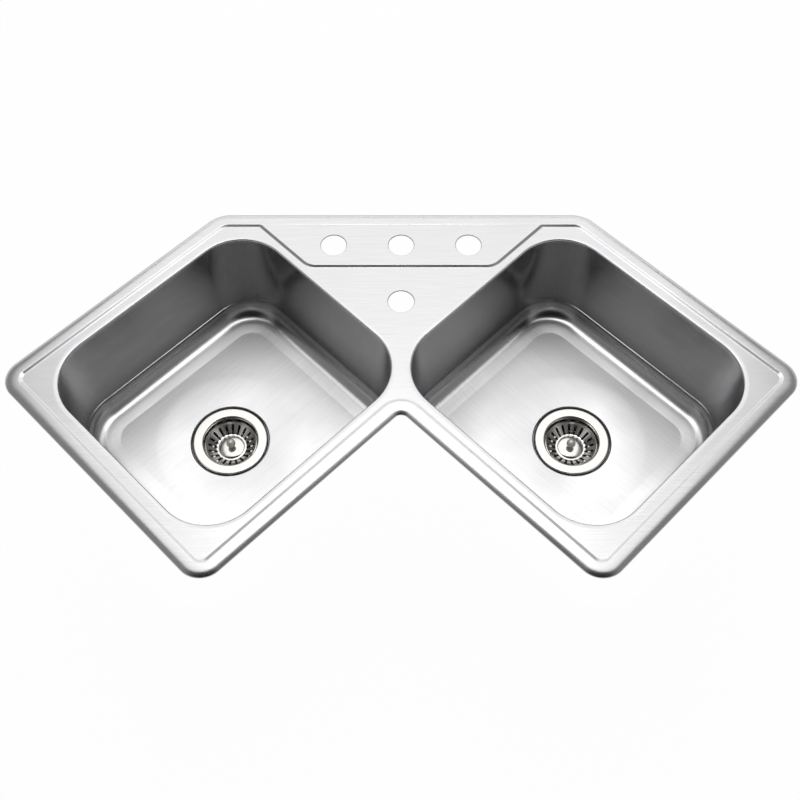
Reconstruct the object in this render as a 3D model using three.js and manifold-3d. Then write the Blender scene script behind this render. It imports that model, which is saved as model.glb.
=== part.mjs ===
// Corner kitchen sink: a pressed stainless deck that turns a right-angled corner, two drawn bowls welded
// under it, a basket strainer in each bowl, and rails, clips and screws that clamp it into a worktop.
// Millimetres, +Z up, +X to the right and -Y towards the user. The origin is on the worktop plane, in the
// middle of the rim seal at the middle of the straight back edge.

import * as THREE from 'three';
import { mergeGeometries, mergeVertices } from 'three/addons/utils/BufferGeometryUtils.js';
import Module from 'manifold-3d';

// ---------------------------------------------------------------- driving dimensions

const sheet = 1.0; // steel sheet of the deck and the bowls
const gap = 0.3; // clearance between pieces that seat on each other

// Plan of the deck. A leg is measured from the theoretical back corner, where its back edges would meet.
const legLength = 810;
const legWidth = 443;
const backCut = 396; // the back corner is cut off this far along each leg
const endRadius = 35;
const backRadius = 42;
const notchRadius = 12; // inner corner between the legs

// Section of the rim, from its edge inwards.
const lipHeight = 1.2;
const bevelWidth = 8;
const rimHeight = 4.5;
const rimWidth = 20;
const stepRun = 2.5; // width of the sloping step between rim or ledge and deck
const deckHeight = 2.5;

// Rim seal, a wedge strip under the bevel.
const sealOuter = 2;
const sealInner = 8;

// Raised faucet ledge and its holes.
const ledgeDepth = 76;
const ledgeSideMargin = 14; // from the ledge's slanted side to the bowl opening
const ledgeRadius = 22;
const faucetHole = 38.1;
const faucetSpacing = 101.6;
const faucetLine = 60; // from the back edge to the row of three holes

// Bowls.
const bowlEndMargin = 39; // from the leg's end edge to the opening
const bowlBackMargin = 37; // from the leg's back edge to the opening
const bowlFrontMargin = 36; // from the leg's front edge to the opening
const cornerOverrun = 66; // how far an opening runs past the notch, towards the back corner
const bowlRadius = 80;
const rollRadius = 5; // rolled edge of the opening
const collarDepth = 3; // straight part under the roll, which the bowl is welded to
const bowlDepth = 175; // from the deck to the floor's edge
const bowlDraft = 10; // how far the walls lean in
const bottomRadius = 26;
const floorBand = 18; // gently sloping band round the floor
const bandDrop = 2;
const floorDish = 3; // fall of the floor from the band to the drain
const dishRadius = 115;
const drainOffset = 20; // from the bowl's centre towards the leg's end

// Drain recess, and the strainer body that sits in it.
const recessRadius = 59.2;
const recessDepth = 3;
const recessRun = 2;
const drainHoleRadius = 44.5;
const gasketThickness = 1.2;
const gasketMargin = 2; // how far the gasket stays inside the flange
const gasketClearance = 1; // and outside the drain hole
const flangeRadius = 57.15;
const flangeThickness = 1.6;
const mouthRadius = 42;
const cupWall = 1.4;
const shoulderRadius = 38; // where the basket's rim rests
const shoulderDrop = 6; // straight mouth above the shoulder
const shoulderDepth = 5;
const cupDepth = 24; // from the recess to the seat of the stopper
const cupTaper = 5; // how much narrower the cup is at its seat
const threadLength = 17;
const seatWall = 2.2;
const outletRadius = 18;
const outletChamfer = 4;
const neckRadius = 21.5;
const neckLength = 36;
const crossBarWidth = 3;
const crossBarDepth = 14; // from the seat down to the cross bars
const hubRadius = 5.5;

// What clamps the strainer body under the bowl.
const drainWasherThickness = 3;
const drainWasherRadius = 57;
const frictionThickness = 1.2;
const frictionRadius = 56;
const locknutHeight = 9;
const locknutRadius = 52;
const locknutFlange = 3;
const locknutLugs = 4;
const lugWidth = 12;
const lugReach = 5;

// Basket.
const basketSheet = 0.8;
const basketRadius = 40.2;
const basketRimDrop = 6; // the rim's top, below the recess
const basketRimHeight = 1.6;
const basketShoulderRadius = 37.6;
const basketFloorRadius = 27;
const domeRadius = 20;
const domeHeight = 2.5;
const slotCount = 20;
const slotWidth = 2.4;
const slotOuterRadius = 35.6;
const slotInnerRadius = 22.7;
const stopperRadius = 28.5;
const stopperThickness = 3.5;
const knobRadius = 7;
const knobDrop = 5.6; // the knob's centre, below the recess
const stemRadius = 3;
const stemTipRadius = 2.3;
const stemTipReach = 4; // how far the tip passes the cross bars
const basketNutFlats = 11;
const basketNutHeight = 4;

// Outlet under the strainer.
const tailWasherThickness = 2;
const tailRadius = 19.05;
const tailWall = 1.2;
const tailLength = 101.6;
const tailFlangeThickness = 1.5;
const couplingFlats = 54;
const couplingGrip = 10; // how far the nut reaches up the neck
const couplingLip = 3;

// Sound-deadening pads on the bowls.
const padThickness = 2.5;
const floorPadInner = 68;
const floorPadOuter = 110;
const sidePadLength = 190;
const sidePadHeight = 90;

// Mounting rails under the rim, with a clip and a screw on each.
const railInset = 11; // from the deck's edge to the rail's open side
const railWidth = 8.5;
const railHeight = 11;
const railWall = 1.2;
const railLip = 2.8;
const railEndMargin = 60; // from a corner of the deck to the rail's end
const clipWidth = 14;
const clipThickness = 1.5;
const clipDrop = 34; // from the worktop plane to the clip's arm
const clipReach = 13; // how far the arm passes the deck's edge
const screwInset = -4; // the screw stands this far outside the deck's edge
const screwRadius = 2.5;
const screwHeadFlats = 8;
const screwHeadHeight = 3.5;
const screwTipHeight = 3;
const screwTop = 18; // from the worktop plane down to the screw's tip
const screwLength = 44;
const bossRadius = 5.5;
const bossHeight = 4;

// Faces along curves.
const cornerSegments = 6;
const rollSegments = 2;
const bottomSegments = 4;
const holeSegments = 24;
const ringSegments = 28;
const smallSegments = 12;
const knobSegments = 6;

// ---------------------------------------------------------------- places that follow from them

const diagonal = Math.SQRT1_2;
const seatInset = (sealOuter + sealInner) / 2;
const backEdgeY = seatInset;
const cornerY = backEdgeY + backCut * diagonal; // the theoretical back corner
const bowlStart = legWidth - cornerOverrun; // from the back corner to the opening, along the leg
const bowlLength = legLength - bowlEndMargin - bowlStart;
const bowlWidth = legWidth - bowlBackMargin - bowlFrontMargin;
const openingBottom = deckHeight - rollRadius;
const bowlTop = openingBottom - collarDepth - gap;
const floorEdge = deckHeight - bowlDepth;
const bandBottom = floorEdge - bandDrop;
const floorBottom = bandBottom - floorDish;
const recessFloor = floorBottom - recessDepth;
const below = 40; // how far cutters reach past the sheet they cut

// The two legs: the direction of each, its turn about Z, and the side of its own length axis it opens to.
const sides = [
  { name: 'left', sign: -1, turn: -Math.PI * 0.75, front: 1 },
  { name: 'right', sign: 1, turn: -Math.PI * 0.25, front: -1 },
];

// A point of a leg: `along` from the back corner and `across` from its back edge.
function legPoint(side, along, across) {
  return [side.sign * diagonal * (along - across), cornerY - diagonal * (along + across)];
}

// ---------------------------------------------------------------- materials

const steel = { color: '#c4c6c8', roughness: 0.32, metalness: 1 };
const polishedSteel = { color: '#d6d7d8', roughness: 0.18, metalness: 1 };
const zincPlate = { color: '#aeb2b6', roughness: 0.4, metalness: 1 };
const brass = { color: '#b9975b', roughness: 0.35, metalness: 1 };
const rubber = { color: '#2b2b2c', roughness: 0.85, metalness: 0 };
const padRubber = { color: '#4a4c4f', roughness: 0.9, metalness: 0 };
const foam = { color: '#3a3a3a', roughness: 0.95, metalness: 0 };
const fibre = { color: '#9c8763', roughness: 0.9, metalness: 0 };
const plastic = { color: '#e6e4df', roughness: 0.5, metalness: 0 };

// ---------------------------------------------------------------- geometry helpers

const wasm = await Module();
wasm.setup();

// A three.js geometry as a solid that can be cut and joined.
function solid(geometry) {
  const bare = geometry.clone();
  bare.deleteAttribute('normal');
  bare.deleteAttribute('uv');
  const merged = mergeVertices(bare, 1e-4);
  return new wasm.Manifold(new wasm.Mesh({
    numProp: 3,
    vertProperties: merged.attributes.position.array,
    triVerts: new Uint32Array(merged.index.array),
  }));
}

// The faces of a solid as a three.js geometry.
function geometryOf(made) {
  const mesh = made.getMesh();
  const geometry = new THREE.BufferGeometry();
  geometry.setAttribute('position', new THREE.Float32BufferAttribute(mesh.vertProperties, 3));
  geometry.setIndex(Array.from(mesh.triVerts));
  geometry.computeVertexNormals();
  return geometry;
}

// Faces through a stack of loops with equal point counts, listed upwards and anticlockwise. The ends are
// capped, or joined to each other where the stack runs round on itself.
function loft(loops, joined = false) {
  const count = loops[0].length;
  const index = [];
  const bands = joined ? loops.length : loops.length - 1;
  for (let band = 0; band < bands; band += 1) {
    const lower = band * count;
    const upper = ((band + 1) % loops.length) * count;
    for (let i = 0; i < count; i += 1) {
      const next = (i + 1) % count;
      index.push(lower + i, lower + next, upper + next, lower + i, upper + next, upper + i);
    }
  }
  if (!joined) {
    const top = (loops.length - 1) * count;
    const flat = (loop) => loop.map((p) => new THREE.Vector2(p.x, p.y));
    for (const [a, b, c] of THREE.ShapeUtils.triangulateShape(flat(loops[0]), [])) index.push(c, b, a);
    for (const [a, b, c] of THREE.ShapeUtils.triangulateShape(flat(loops.at(-1)), [])) {
      index.push(top + a, top + b, top + c);
    }
  }
  const positions = loops.flat().flatMap((p) => [p.x, p.y, p.z]);
  const geometry = new THREE.BufferGeometry();
  geometry.setAttribute('position', new THREE.Float32BufferAttribute(positions, 3));
  geometry.setIndex(index);
  geometry.computeVertexNormals();
  return geometry;
}

// A loop at height z round a polygon with rounded corners, drawn in by `inset`. The corners are
// { x, y, r } anticlockwise, and hollow corners may be among them.
function roundedLoop(corners, inset, z) {
  const loop = [];
  corners.forEach((corner, i) => {
    const before = corners.at(i - 1);
    const after = corners[(i + 1) % corners.length];
    const here = new THREE.Vector2(corner.x, corner.y);
    const incoming = here.clone().sub(before).normalize();
    const outgoing = new THREE.Vector2(after.x, after.y).sub(here).normalize();
    const inwardIn = new THREE.Vector2(-incoming.y, incoming.x);
    const inwardOut = new THREE.Vector2(-outgoing.y, outgoing.x);
    const mitre = inwardIn.clone().add(inwardOut).divideScalar(1 + inwardIn.dot(inwardOut));
    const convex = Math.sign(incoming.cross(outgoing));
    const radius = corner.r - convex * inset;
    const centre = here.addScaledVector(mitre, inset + convex * radius);
    const start = Math.atan2(-convex * inwardIn.y, -convex * inwardIn.x);
    const sweep = Math.atan2(incoming.cross(outgoing), incoming.dot(outgoing));
    for (let step = 0; step <= cornerSegments; step += 1) {
      const angle = start + (sweep * step) / cornerSegments;
      loop.push(new THREE.Vector3(
        centre.x + radius * Math.cos(angle),
        centre.y + radius * Math.sin(angle),
        z,
      ));
    }
  });
  return loop;
}

// Loops round one polygon, one for each [inset, z] of a line.
function loopsAlong(corners, line) {
  return line.map(([inset, z]) => roundedLoop(corners, inset, z));
}

// An open line moved to its right by a distance, with mitred corners: the other face of a bent sheet.
function shifted(line, distance) {
  const normals = line.slice(1).map(([x, y], i) => {
    return new THREE.Vector2(y - line[i][1], line[i][0] - x).normalize();
  });
  return line.map(([x, y], i) => {
    const first = normals[Math.max(i - 1, 0)];
    const second = normals[Math.min(i, normals.length - 1)];
    const mitre = first.clone().add(second).multiplyScalar(distance / (1 + first.dot(second)));
    return [x + mitre.x, y + mitre.y];
  });
}

// The section of a sheet bent along a line, as a closed outline.
function bentSheet(line, thickness) {
  return [...line, ...shifted(line, thickness).reverse()];
}

// Points of an arc from one angle to another, as [x, y].
function arc(x, y, radius, from, to, segments) {
  return Array.from({ length: segments + 1 }, (_, i) => {
    const angle = from + ((to - from) * i) / segments;
    return [x + radius * Math.cos(angle), y + radius * Math.sin(angle)];
  });
}

// A turned piece about Z from its [radius, z] outline, anticlockwise and closed on itself or on the axis.
function turned(outline, segments = ringSegments) {
  const onAxis = outline[0][0] === 0;
  const points = onAxis ? outline : [...outline, outline[0]];
  const profile = points.map(([radius, z]) => new THREE.Vector2(radius, z));
  return new THREE.LatheGeometry(profile, segments).rotateX(Math.PI / 2);
}

// A flat ring.
function ring(innerRadius, outerRadius, bottom, top, segments = ringSegments) {
  const outline = [[innerRadius, bottom], [outerRadius, bottom], [outerRadius, top], [innerRadius, top]];
  return turned(outline, segments);
}

// A round bar or hole tool standing on `bottom`.
function rod(radius, bottom, top, segments = ringSegments) {
  return new THREE.CylinderGeometry(radius, radius, top - bottom, segments)
    .rotateX(Math.PI / 2)
    .translate(0, 0, (top + bottom) / 2);
}

// A six-sided bar across two flats, standing on `bottom`.
function hexagon(flats, bottom, top) {
  return rod(flats / Math.sqrt(3), bottom, top, 6);
}

// An outline in [inwards, up] run along X for a length, centred on X = 0.
function runAlongX(outline, length) {
  const shape = new THREE.Shape(outline.map(([x, y]) => new THREE.Vector2(x, y)));
  const basis = new THREE.Matrix4().makeBasis(
    new THREE.Vector3(0, 1, 0),
    new THREE.Vector3(0, 0, 1),
    new THREE.Vector3(1, 0, 0),
  );
  return new THREE.ExtrudeGeometry(shape, { depth: length, bevelEnabled: false, steps: 1 })
    .translate(0, 0, -length / 2)
    .applyMatrix4(basis);
}

function named(name, geometry, look) {
  const mesh = new THREE.Mesh(geometry, new THREE.MeshStandardMaterial(look));
  mesh.name = name;
  return mesh;
}

// ---------------------------------------------------------------- outlines in plan

// The deck's corners, anticlockwise from the right end of the straight back edge.
const deckCorners = [
  [...legPoint(sides[1], backCut, 0), backRadius],
  [...legPoint(sides[0], backCut, 0), backRadius],
  [...legPoint(sides[0], legLength, 0), endRadius],
  [...legPoint(sides[0], legLength, legWidth), endRadius],
  [...legPoint(sides[0], legWidth, legWidth), notchRadius],
  [...legPoint(sides[1], legLength, legWidth), endRadius],
  [...legPoint(sides[1], legLength, 0), endRadius],
].map(([x, y, r]) => ({ x, y, r }));

// A bowl's opening about its own centre, with +X along the leg towards its end.
const bowlCorners = [[1, 1], [-1, 1], [-1, -1], [1, -1]].map(([x, y]) => ({
  x: (x * bowlLength) / 2,
  y: (y * bowlWidth) / 2,
  r: bowlRadius,
}));

function bowlCentre(side) {
  return legPoint(side, bowlStart + bowlLength / 2, bowlBackMargin + bowlWidth / 2);
}

// The raised ledge: its sides run parallel to the bowl openings, and its back lies within the rim.
function ledgeCorners() {
  const backY = backEdgeY - (bevelWidth + rimWidth) / 2;
  const frontY = backEdgeY - rimWidth - ledgeDepth;
  const sideX = (y) => 2 * diagonal * (bowlStart - ledgeSideMargin) + y - cornerY;
  return [
    { x: sideX(backY), y: backY, r: 1 },
    { x: -sideX(backY), y: backY, r: 1 },
    { x: -sideX(frontY), y: frontY, r: ledgeRadius },
    { x: sideX(frontY), y: frontY, r: ledgeRadius },
  ];
}

// ---------------------------------------------------------------- deck and rim seal

const rimTop = [
  [0, 0],
  [0, lipHeight],
  [bevelWidth, rimHeight],
  [rimWidth, rimHeight],
  [rimWidth + stepRun, deckHeight],
  [rimWidth + 2 * stepRun, deckHeight],
];
const rimUnderside = shifted(rimTop, sheet);

// Line of the rolled edge round an opening, from below upwards, `depth` under the show face.
function openingLine(depth, bottom) {
  const roll = arc(-rollRadius, openingBottom, rollRadius - depth, 0, Math.PI / 2, rollSegments);
  return [[-depth, bottom], ...roll];
}

function deckGeometry() {
  const inPlace = (side, geometry) => {
    const [x, y] = bowlCentre(side);
    return solid(geometry.rotateZ(side.turn).translate(x, y, 0));
  };
  const ledgeTop = [[-stepRun, deckHeight / 2], [-stepRun, deckHeight], [0, rimHeight]];
  const ledgeLine = [[-2 * stepRun, deckHeight], [-stepRun, deckHeight], [0, rimHeight], [stepRun, rimHeight]];
  const [, underFoot, underTop] = shifted(ledgeLine, sheet);
  const ledgeHollow = [[underFoot[0], -below], underFoot, underTop];
  const rimHollow = [[sheet, -below], ...rimUnderside.slice(1)];
  const collarBottom = openingBottom - collarDepth;

  let body = solid(loft(loopsAlong(deckCorners, rimTop)))
    .add(solid(loft(loopsAlong(ledgeCorners(), ledgeTop))));
  let hollow = solid(loft(loopsAlong(deckCorners, rimHollow)))
    .add(solid(loft(loopsAlong(ledgeCorners(), ledgeHollow))));
  for (const side of sides) {
    const collar = openingLine(sheet, collarBottom);
    body = body.add(inPlace(side, loft(loopsAlong(bowlCorners, collar))));
    hollow = hollow.subtract(inPlace(side, loft(loopsAlong(bowlCorners, collar))));
  }
  let deck = body.subtract(hollow);
  for (const side of sides) {
    const opening = [...openingLine(0, -below), [-rollRadius, below]];
    deck = deck.subtract(inPlace(side, loft(loopsAlong(bowlCorners, opening))));
  }
  const rowY = backEdgeY - faucetLine;
  const holes = [[-faucetSpacing, rowY], [0, rowY], [faucetSpacing, rowY], [0, rowY - faucetSpacing]];
  for (const [x, y] of holes) {
    deck = deck.subtract(solid(rod(faucetHole / 2, -below, below, holeSegments).translate(x, y, 0)));
  }
  return geometryOf(deck);
}

// A soft strip that fills the wedge between the bevel and the worktop, all the way round.
function rimSealGeometry() {
  const slope = (rimHeight - lipHeight) / bevelWidth;
  const upright = sheet * Math.hypot(1, slope);
  const underBevel = (inset) => lipHeight + slope * inset - upright - gap;
  const section = [
    [sealOuter, 0],
    [sealOuter, underBevel(sealOuter)],
    [sealInner, underBevel(sealInner)],
    [sealInner, 0],
  ];
  return loft(loopsAlong(deckCorners, section), true);
}

// ---------------------------------------------------------------- bowl and its pads

const wallLine = [
  [0, bowlTop],
  ...arc(bowlDraft + bottomRadius, floorEdge + bottomRadius, bottomRadius, Math.PI, Math.PI * 1.5, bottomSegments),
  [bowlDraft + bottomRadius + floorBand, bandBottom],
];

// The underside of the dish at a radius from the drain.
function dishUnderside(radius) {
  const inner = recessRadius + recessRun;
  const share = (radius - inner) / (dishRadius - inner);
  return floorBottom - sheet + share * (bandBottom - floorBottom);
}

// All that lies inside the bowl's sheet, or within its outer face where `depth` is the sheet.
function bowlBlank(depth) {
  const walls = loft(loopsAlong(bowlCorners, shifted(wallLine, depth)).reverse());
  const dish = turned([
    [0, recessFloor - depth],
    [recessRadius + depth, recessFloor - depth],
    [recessRadius + recessRun + depth, floorBottom - depth],
    [dishRadius, bandBottom - depth],
    [dishRadius, bandBottom - depth + sheet / 2],
    [0, bandBottom - depth + sheet / 2],
  ]).translate(drainOffset, 0, 0);
  return solid(walls).add(solid(dish));
}

function bowlGeometry() {
  const drainHole = rod(drainHoleRadius, recessFloor - below, recessFloor + below).translate(drainOffset, 0, 0);
  return geometryOf(bowlBlank(sheet).subtract(bowlBlank(0)).subtract(solid(drainHole)));
}

// A round pad stuck under the dish of the floor, with room for the drain recess.
function floorPadGeometry() {
  const face = [floorPadInner, floorPadOuter].map((radius) => [radius, dishUnderside(radius) - gap]);
  const back = face.map(([radius, z]) => [radius, z - padThickness]);
  return turned([...back, ...face.reverse()]).translate(drainOffset, 0, 0);
}

// A flat pad on the outside of a wall that stands `reach` from the bowl's centre.
function sidePad(name, reach, turn) {
  const height = bowlTop - floorEdge - bottomRadius;
  const lean = Math.atan2(bowlDraft, height);
  const offWall = sheet + gap + padThickness / 2;
  const pad = named(name, new THREE.BoxGeometry(padThickness, sidePadLength, sidePadHeight), padRubber);
  pad.position.set(
    reach - bowlDraft / 2 + offWall * Math.cos(lean),
    0,
    bowlTop - height / 2 - offWall * Math.sin(lean),
  );
  pad.rotation.y = lean;
  const place = new THREE.Group();
  place.rotation.z = turn;
  return place.add(pad);
}

// ---------------------------------------------------------------- strainer, about the drain's axis

// Heights are from the recess's floor, where the strainer seats.
const flangeUnderside = 2 * gap + gasketThickness;
const flangeTop = flangeUnderside + flangeThickness;
const cupRadius = mouthRadius + cupWall;
const seatRadius = shoulderRadius - cupTaper;
const neckEnd = -cupDepth - neckLength;
const crossBarTop = -cupDepth - crossBarDepth;
const stopperBottom = -cupDepth + gap;
const stopperTop = stopperBottom + stopperThickness;

function strainerBodyGeometry() {
  const shell = turned([
    [outletRadius, neckEnd],
    [neckRadius, neckEnd],
    [neckRadius, -cupDepth - seatWall],
    [seatRadius + cupWall, -cupDepth - seatWall],
    [cupRadius, -threadLength],
    [cupRadius, flangeUnderside],
    [flangeRadius, flangeUnderside],
    [flangeRadius - flangeThickness, flangeTop],
    [mouthRadius + cupWall, flangeTop],
    [mouthRadius, flangeTop - cupWall],
    [mouthRadius, -shoulderDrop],
    [shoulderRadius, -shoulderDrop - shoulderDepth],
    [seatRadius, -cupDepth],
    [outletRadius + outletChamfer / 2, -cupDepth],
    [outletRadius, -cupDepth - outletChamfer],
  ]);
  const barLength = 2 * outletRadius + neckRadius - outletRadius;
  const bar = new THREE.BoxGeometry(barLength, crossBarWidth, crossBarWidth)
    .translate(0, 0, crossBarTop - crossBarWidth / 2);
  const hub = rod(hubRadius, crossBarTop - crossBarWidth, crossBarTop, smallSegments);
  const hubHole = rod(stemTipRadius + gap, crossBarTop - below, crossBarTop + below / 2, smallSegments);
  return geometryOf(
    solid(shell)
      .add(solid(bar))
      .add(solid(bar.clone().rotateZ(Math.PI / 2)))
      .add(solid(hub))
      .subtract(solid(hubHole)),
  );
}

function basketGeometry() {
  const rimZ = -basketRimDrop;
  const floorZ = stopperTop + gap + basketSheet;
  const stemHole = stemRadius + gap;
  const face = [
    [basketRadius, rimZ - basketRimHeight],
    [basketRadius, rimZ],
    [basketShoulderRadius, rimZ],
    [basketFloorRadius, floorZ],
    [domeRadius, floorZ],
    [domeRadius / 2, floorZ + domeHeight * 0.75],
    [stemHole, floorZ + domeHeight],
  ];
  const back = shifted(face, -basketSheet);
  const shell = turned([...face, ...back.reverse()]);
  const slotLength = slotOuterRadius - slotInnerRadius;
  const slots = Array.from({ length: slotCount }, (_, i) => {
    return new THREE.BoxGeometry(slotLength, slotWidth, below)
      .translate((slotOuterRadius + slotInnerRadius) / 2, 0, -below / 2)
      .rotateZ((2 * Math.PI * i) / slotCount);
  });
  return geometryOf(solid(shell).subtract(solid(mergeGeometries(slots))));
}

// Ball knob and stem in one, on down to the tip that snaps into the cross bars' hub.
function basketKnobGeometry() {
  const ball = arc(0, -knobDrop, knobRadius, Math.PI / 2, -Math.PI / 3, knobSegments).reverse();
  ball[ball.length - 1][0] = 0;
  const shoulder = crossBarTop + 2 * gap;
  const tip = crossBarTop - crossBarWidth - stemTipReach;
  return turned([
    [0, tip],
    [stemTipRadius, tip],
    [stemTipRadius, shoulder],
    [stemRadius, shoulder],
    [stemRadius, -knobDrop - knobRadius],
    ...ball,
  ], smallSegments);
}

function basketNutGeometry() {
  const top = stopperBottom - gap;
  const nut = solid(hexagon(basketNutFlats, top - basketNutHeight, top));
  return geometryOf(nut.subtract(solid(rod(stemRadius + gap, top - below, top + below, smallSegments))));
}

function locknutGeometry(top) {
  const bottom = top - locknutHeight;
  const bore = cupRadius + gap;
  const wallRadius = bore + locknutFlange;
  let nut = solid(turned([
    [bore, bottom],
    [wallRadius, bottom],
    [wallRadius, top - locknutFlange],
    [locknutRadius, top - locknutFlange],
    [locknutRadius, top],
    [bore, top],
  ]));
  for (let i = 0; i < locknutLugs; i += 1) {
    const lug = new THREE.BoxGeometry(lugReach + locknutFlange / 2, lugWidth, locknutHeight - locknutFlange / 2)
      .translate(wallRadius + lugReach / 2 - locknutFlange / 4, 0, bottom + (locknutHeight - locknutFlange / 2) / 2)
      .rotateZ((2 * Math.PI * (i + 0.5)) / locknutLugs);
    nut = nut.add(solid(lug));
  }
  return geometryOf(nut);
}

function couplingNutGeometry(tailFlangeBottom) {
  const top = neckEnd + couplingGrip;
  const lipTop = tailFlangeBottom - gap;
  const bottom = lipTop - couplingLip;
  return geometryOf(
    solid(hexagon(couplingFlats, bottom, top))
      .subtract(solid(rod(neckRadius + gap, lipTop, top + below)))
      .subtract(solid(rod(tailRadius + gap, bottom - below, top + below))),
  );
}

function strainer(prefix) {
  const group = new THREE.Group();
  const add = (name, geometry, look) => group.add(named(`${prefix}_${name}`, geometry, look));
  const gasket = [drainHoleRadius + gasketClearance, flangeRadius - gasketMargin];
  add('flange_gasket', ring(...gasket, gap, gap + gasketThickness), rubber);
  add('strainer_body', strainerBodyGeometry(), polishedSteel);

  const bore = cupRadius + gap;
  const washerTop = -sheet - gap;
  const frictionTop = washerTop - drainWasherThickness - gap;
  const locknutTop = frictionTop - frictionThickness - gap;
  add('drain_washer', ring(bore, drainWasherRadius, washerTop - drainWasherThickness, washerTop), rubber);
  add('friction_ring', ring(bore, frictionRadius, frictionTop - frictionThickness, frictionTop), fibre);
  add('locknut', locknutGeometry(locknutTop), brass);

  add('basket', basketGeometry(), polishedSteel);
  add('basket_knob', basketKnobGeometry(), polishedSteel);
  add('basket_stopper', ring(stemRadius + gap, stopperRadius, stopperBottom, stopperTop), rubber);
  add('basket_nut', basketNutGeometry(), brass);

  const washerBottom = neckEnd - gap - tailWasherThickness;
  const tailTop = washerBottom - gap;
  const tailFlangeBottom = tailTop - tailFlangeThickness;
  add('tail_washer', ring(outletRadius, neckRadius - gap, washerBottom, neckEnd - gap), plastic);
  add('tailpiece', turned([
    [tailRadius - tailWall, tailTop - tailLength],
    [tailRadius, tailTop - tailLength],
    [tailRadius, tailFlangeBottom],
    [neckRadius - gap, tailFlangeBottom],
    [neckRadius - gap, tailTop],
    [tailRadius - tailWall, tailTop],
  ]), zincPlate);
  add('coupling_nut', couplingNutGeometry(tailFlangeBottom), brass);
  group.position.set(drainOffset, 0, recessFloor);
  return group;
}

// ---------------------------------------------------------------- one leg's bowl, with all that it carries

function bowlAssembly(side) {
  const group = new THREE.Group();
  const name = (piece) => `${side.name}_${piece}`;
  group.add(named(name('bowl'), bowlGeometry(), steel));
  group.add(named(name('floor_pad'), floorPadGeometry(), padRubber));
  group.add(sidePad(name('end_pad'), bowlLength / 2, 0));
  group.add(sidePad(name('front_pad'), bowlWidth / 2, (side.front * Math.PI) / 2));
  group.add(strainer(side.name));
  const [x, y] = bowlCentre(side);
  group.position.set(x, y, 0);
  group.rotation.z = side.turn;
  return group;
}

// ---------------------------------------------------------------- rails, clips and screws

const railTop = rimHeight - sheet - gap;
const railBottom = railTop - railHeight;
const railLipTop = railBottom + railWall + railLip;

// A C-section with an upturned lip, open to the outside.
const railSection = bentSheet([
  [railInset, railTop],
  [railInset + railWidth, railTop],
  [railInset + railWidth, railBottom],
  [railInset, railBottom],
  [railInset, railLipTop],
], railWall);

// A strap that hooks over the rail's lip, hangs down beside it and reaches out under the worktop.
function clipGeometry() {
  const hookInset = railInset + railWall + gap;
  const strapInset = railInset - gap;
  const armTop = -clipDrop;
  const strap = runAlongX(bentSheet([
    [hookInset, railBottom + railWall + gap],
    [hookInset, railLipTop + gap],
    [strapInset, railLipTop + gap],
    [strapInset, armTop - clipThickness],
    [-clipReach, armTop - clipThickness],
  ].reverse(), -clipThickness), clipWidth);
  const boss = rod(bossRadius, armTop - clipThickness - bossHeight, armTop - clipThickness / 2, smallSegments);
  const hole = rod(screwRadius + gap, armTop - below, armTop + below / 2, smallSegments);
  return geometryOf(
    solid(strap)
      .add(solid(boss.translate(0, screwInset, 0)))
      .subtract(solid(hole.translate(0, screwInset, 0))),
  );
}

function screwGeometry() {
  const tip = -screwTop;
  const headTop = tip - screwLength;
  const shank = turned([
    [0, headTop - screwHeadHeight / 2],
    [screwRadius, headTop - screwHeadHeight / 2],
    [screwRadius, tip - screwTipHeight],
    [screwRadius / 2, tip],
    [0, tip],
  ], smallSegments);
  const head = hexagon(screwHeadFlats, headTop - screwHeadHeight, headTop);
  return geometryOf(solid(shank).add(solid(head)).translate([0, screwInset, 0]));
}

// The edges of the deck in the order of its corners, each from its corner to the next.
const edgeNames = ['back', 'left_back', 'left_end', 'left_front', 'right_front', 'right_end', 'right_back'];
const clipOffset = { back: -faucetSpacing / 2 }; // the back clip stands between two faucet holes

function clamping(edgeName, i) {
  const from = new THREE.Vector2(deckCorners[i].x, deckCorners[i].y);
  const next = deckCorners[(i + 1) % deckCorners.length];
  const to = new THREE.Vector2(next.x, next.y);
  const middle = from.clone().add(to).divideScalar(2);
  const railLength = from.distanceTo(to) - 2 * railEndMargin;
  const clip = new THREE.Group();
  clip.add(named(`clip_${edgeName}`, clipGeometry(), zincPlate));
  clip.add(named(`screw_${edgeName}`, screwGeometry(), zincPlate));
  clip.position.x = clipOffset[edgeName] ?? 0;
  const group = new THREE.Group();
  group.add(named(`rail_${edgeName}`, runAlongX(railSection, railLength), zincPlate));
  group.add(clip);
  group.position.set(middle.x, middle.y, 0);
  group.rotation.z = to.sub(from).angle();
  return group;
}

// ---------------------------------------------------------------- the whole sink

const sink = new THREE.Group();
sink.add(named('deck', deckGeometry(), steel));
sink.add(named('rim_seal', rimSealGeometry(), foam));
sink.add(...sides.map(bowlAssembly));
sink.add(...edgeNames.map(clamping));

export default sink;
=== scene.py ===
"""Looks of a corner kitchen sink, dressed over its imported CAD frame.

The pressed deck, the two drawn bowls, the strainers and the clamping hardware are modelled in edit mode, in
metres and in the CAD's frame: +Z up, -Y towards the user, the origin on the worktop plane in the middle of
the back edge. Lengths in the classes are in millimetres, as in the CAD.
"""

import sys
import logging
import math
from dataclasses import dataclass
from enum import Enum
from typing import Callable, Iterable, Sequence

import bmesh
import bpy
from mathutils import Matrix, Vector


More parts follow.
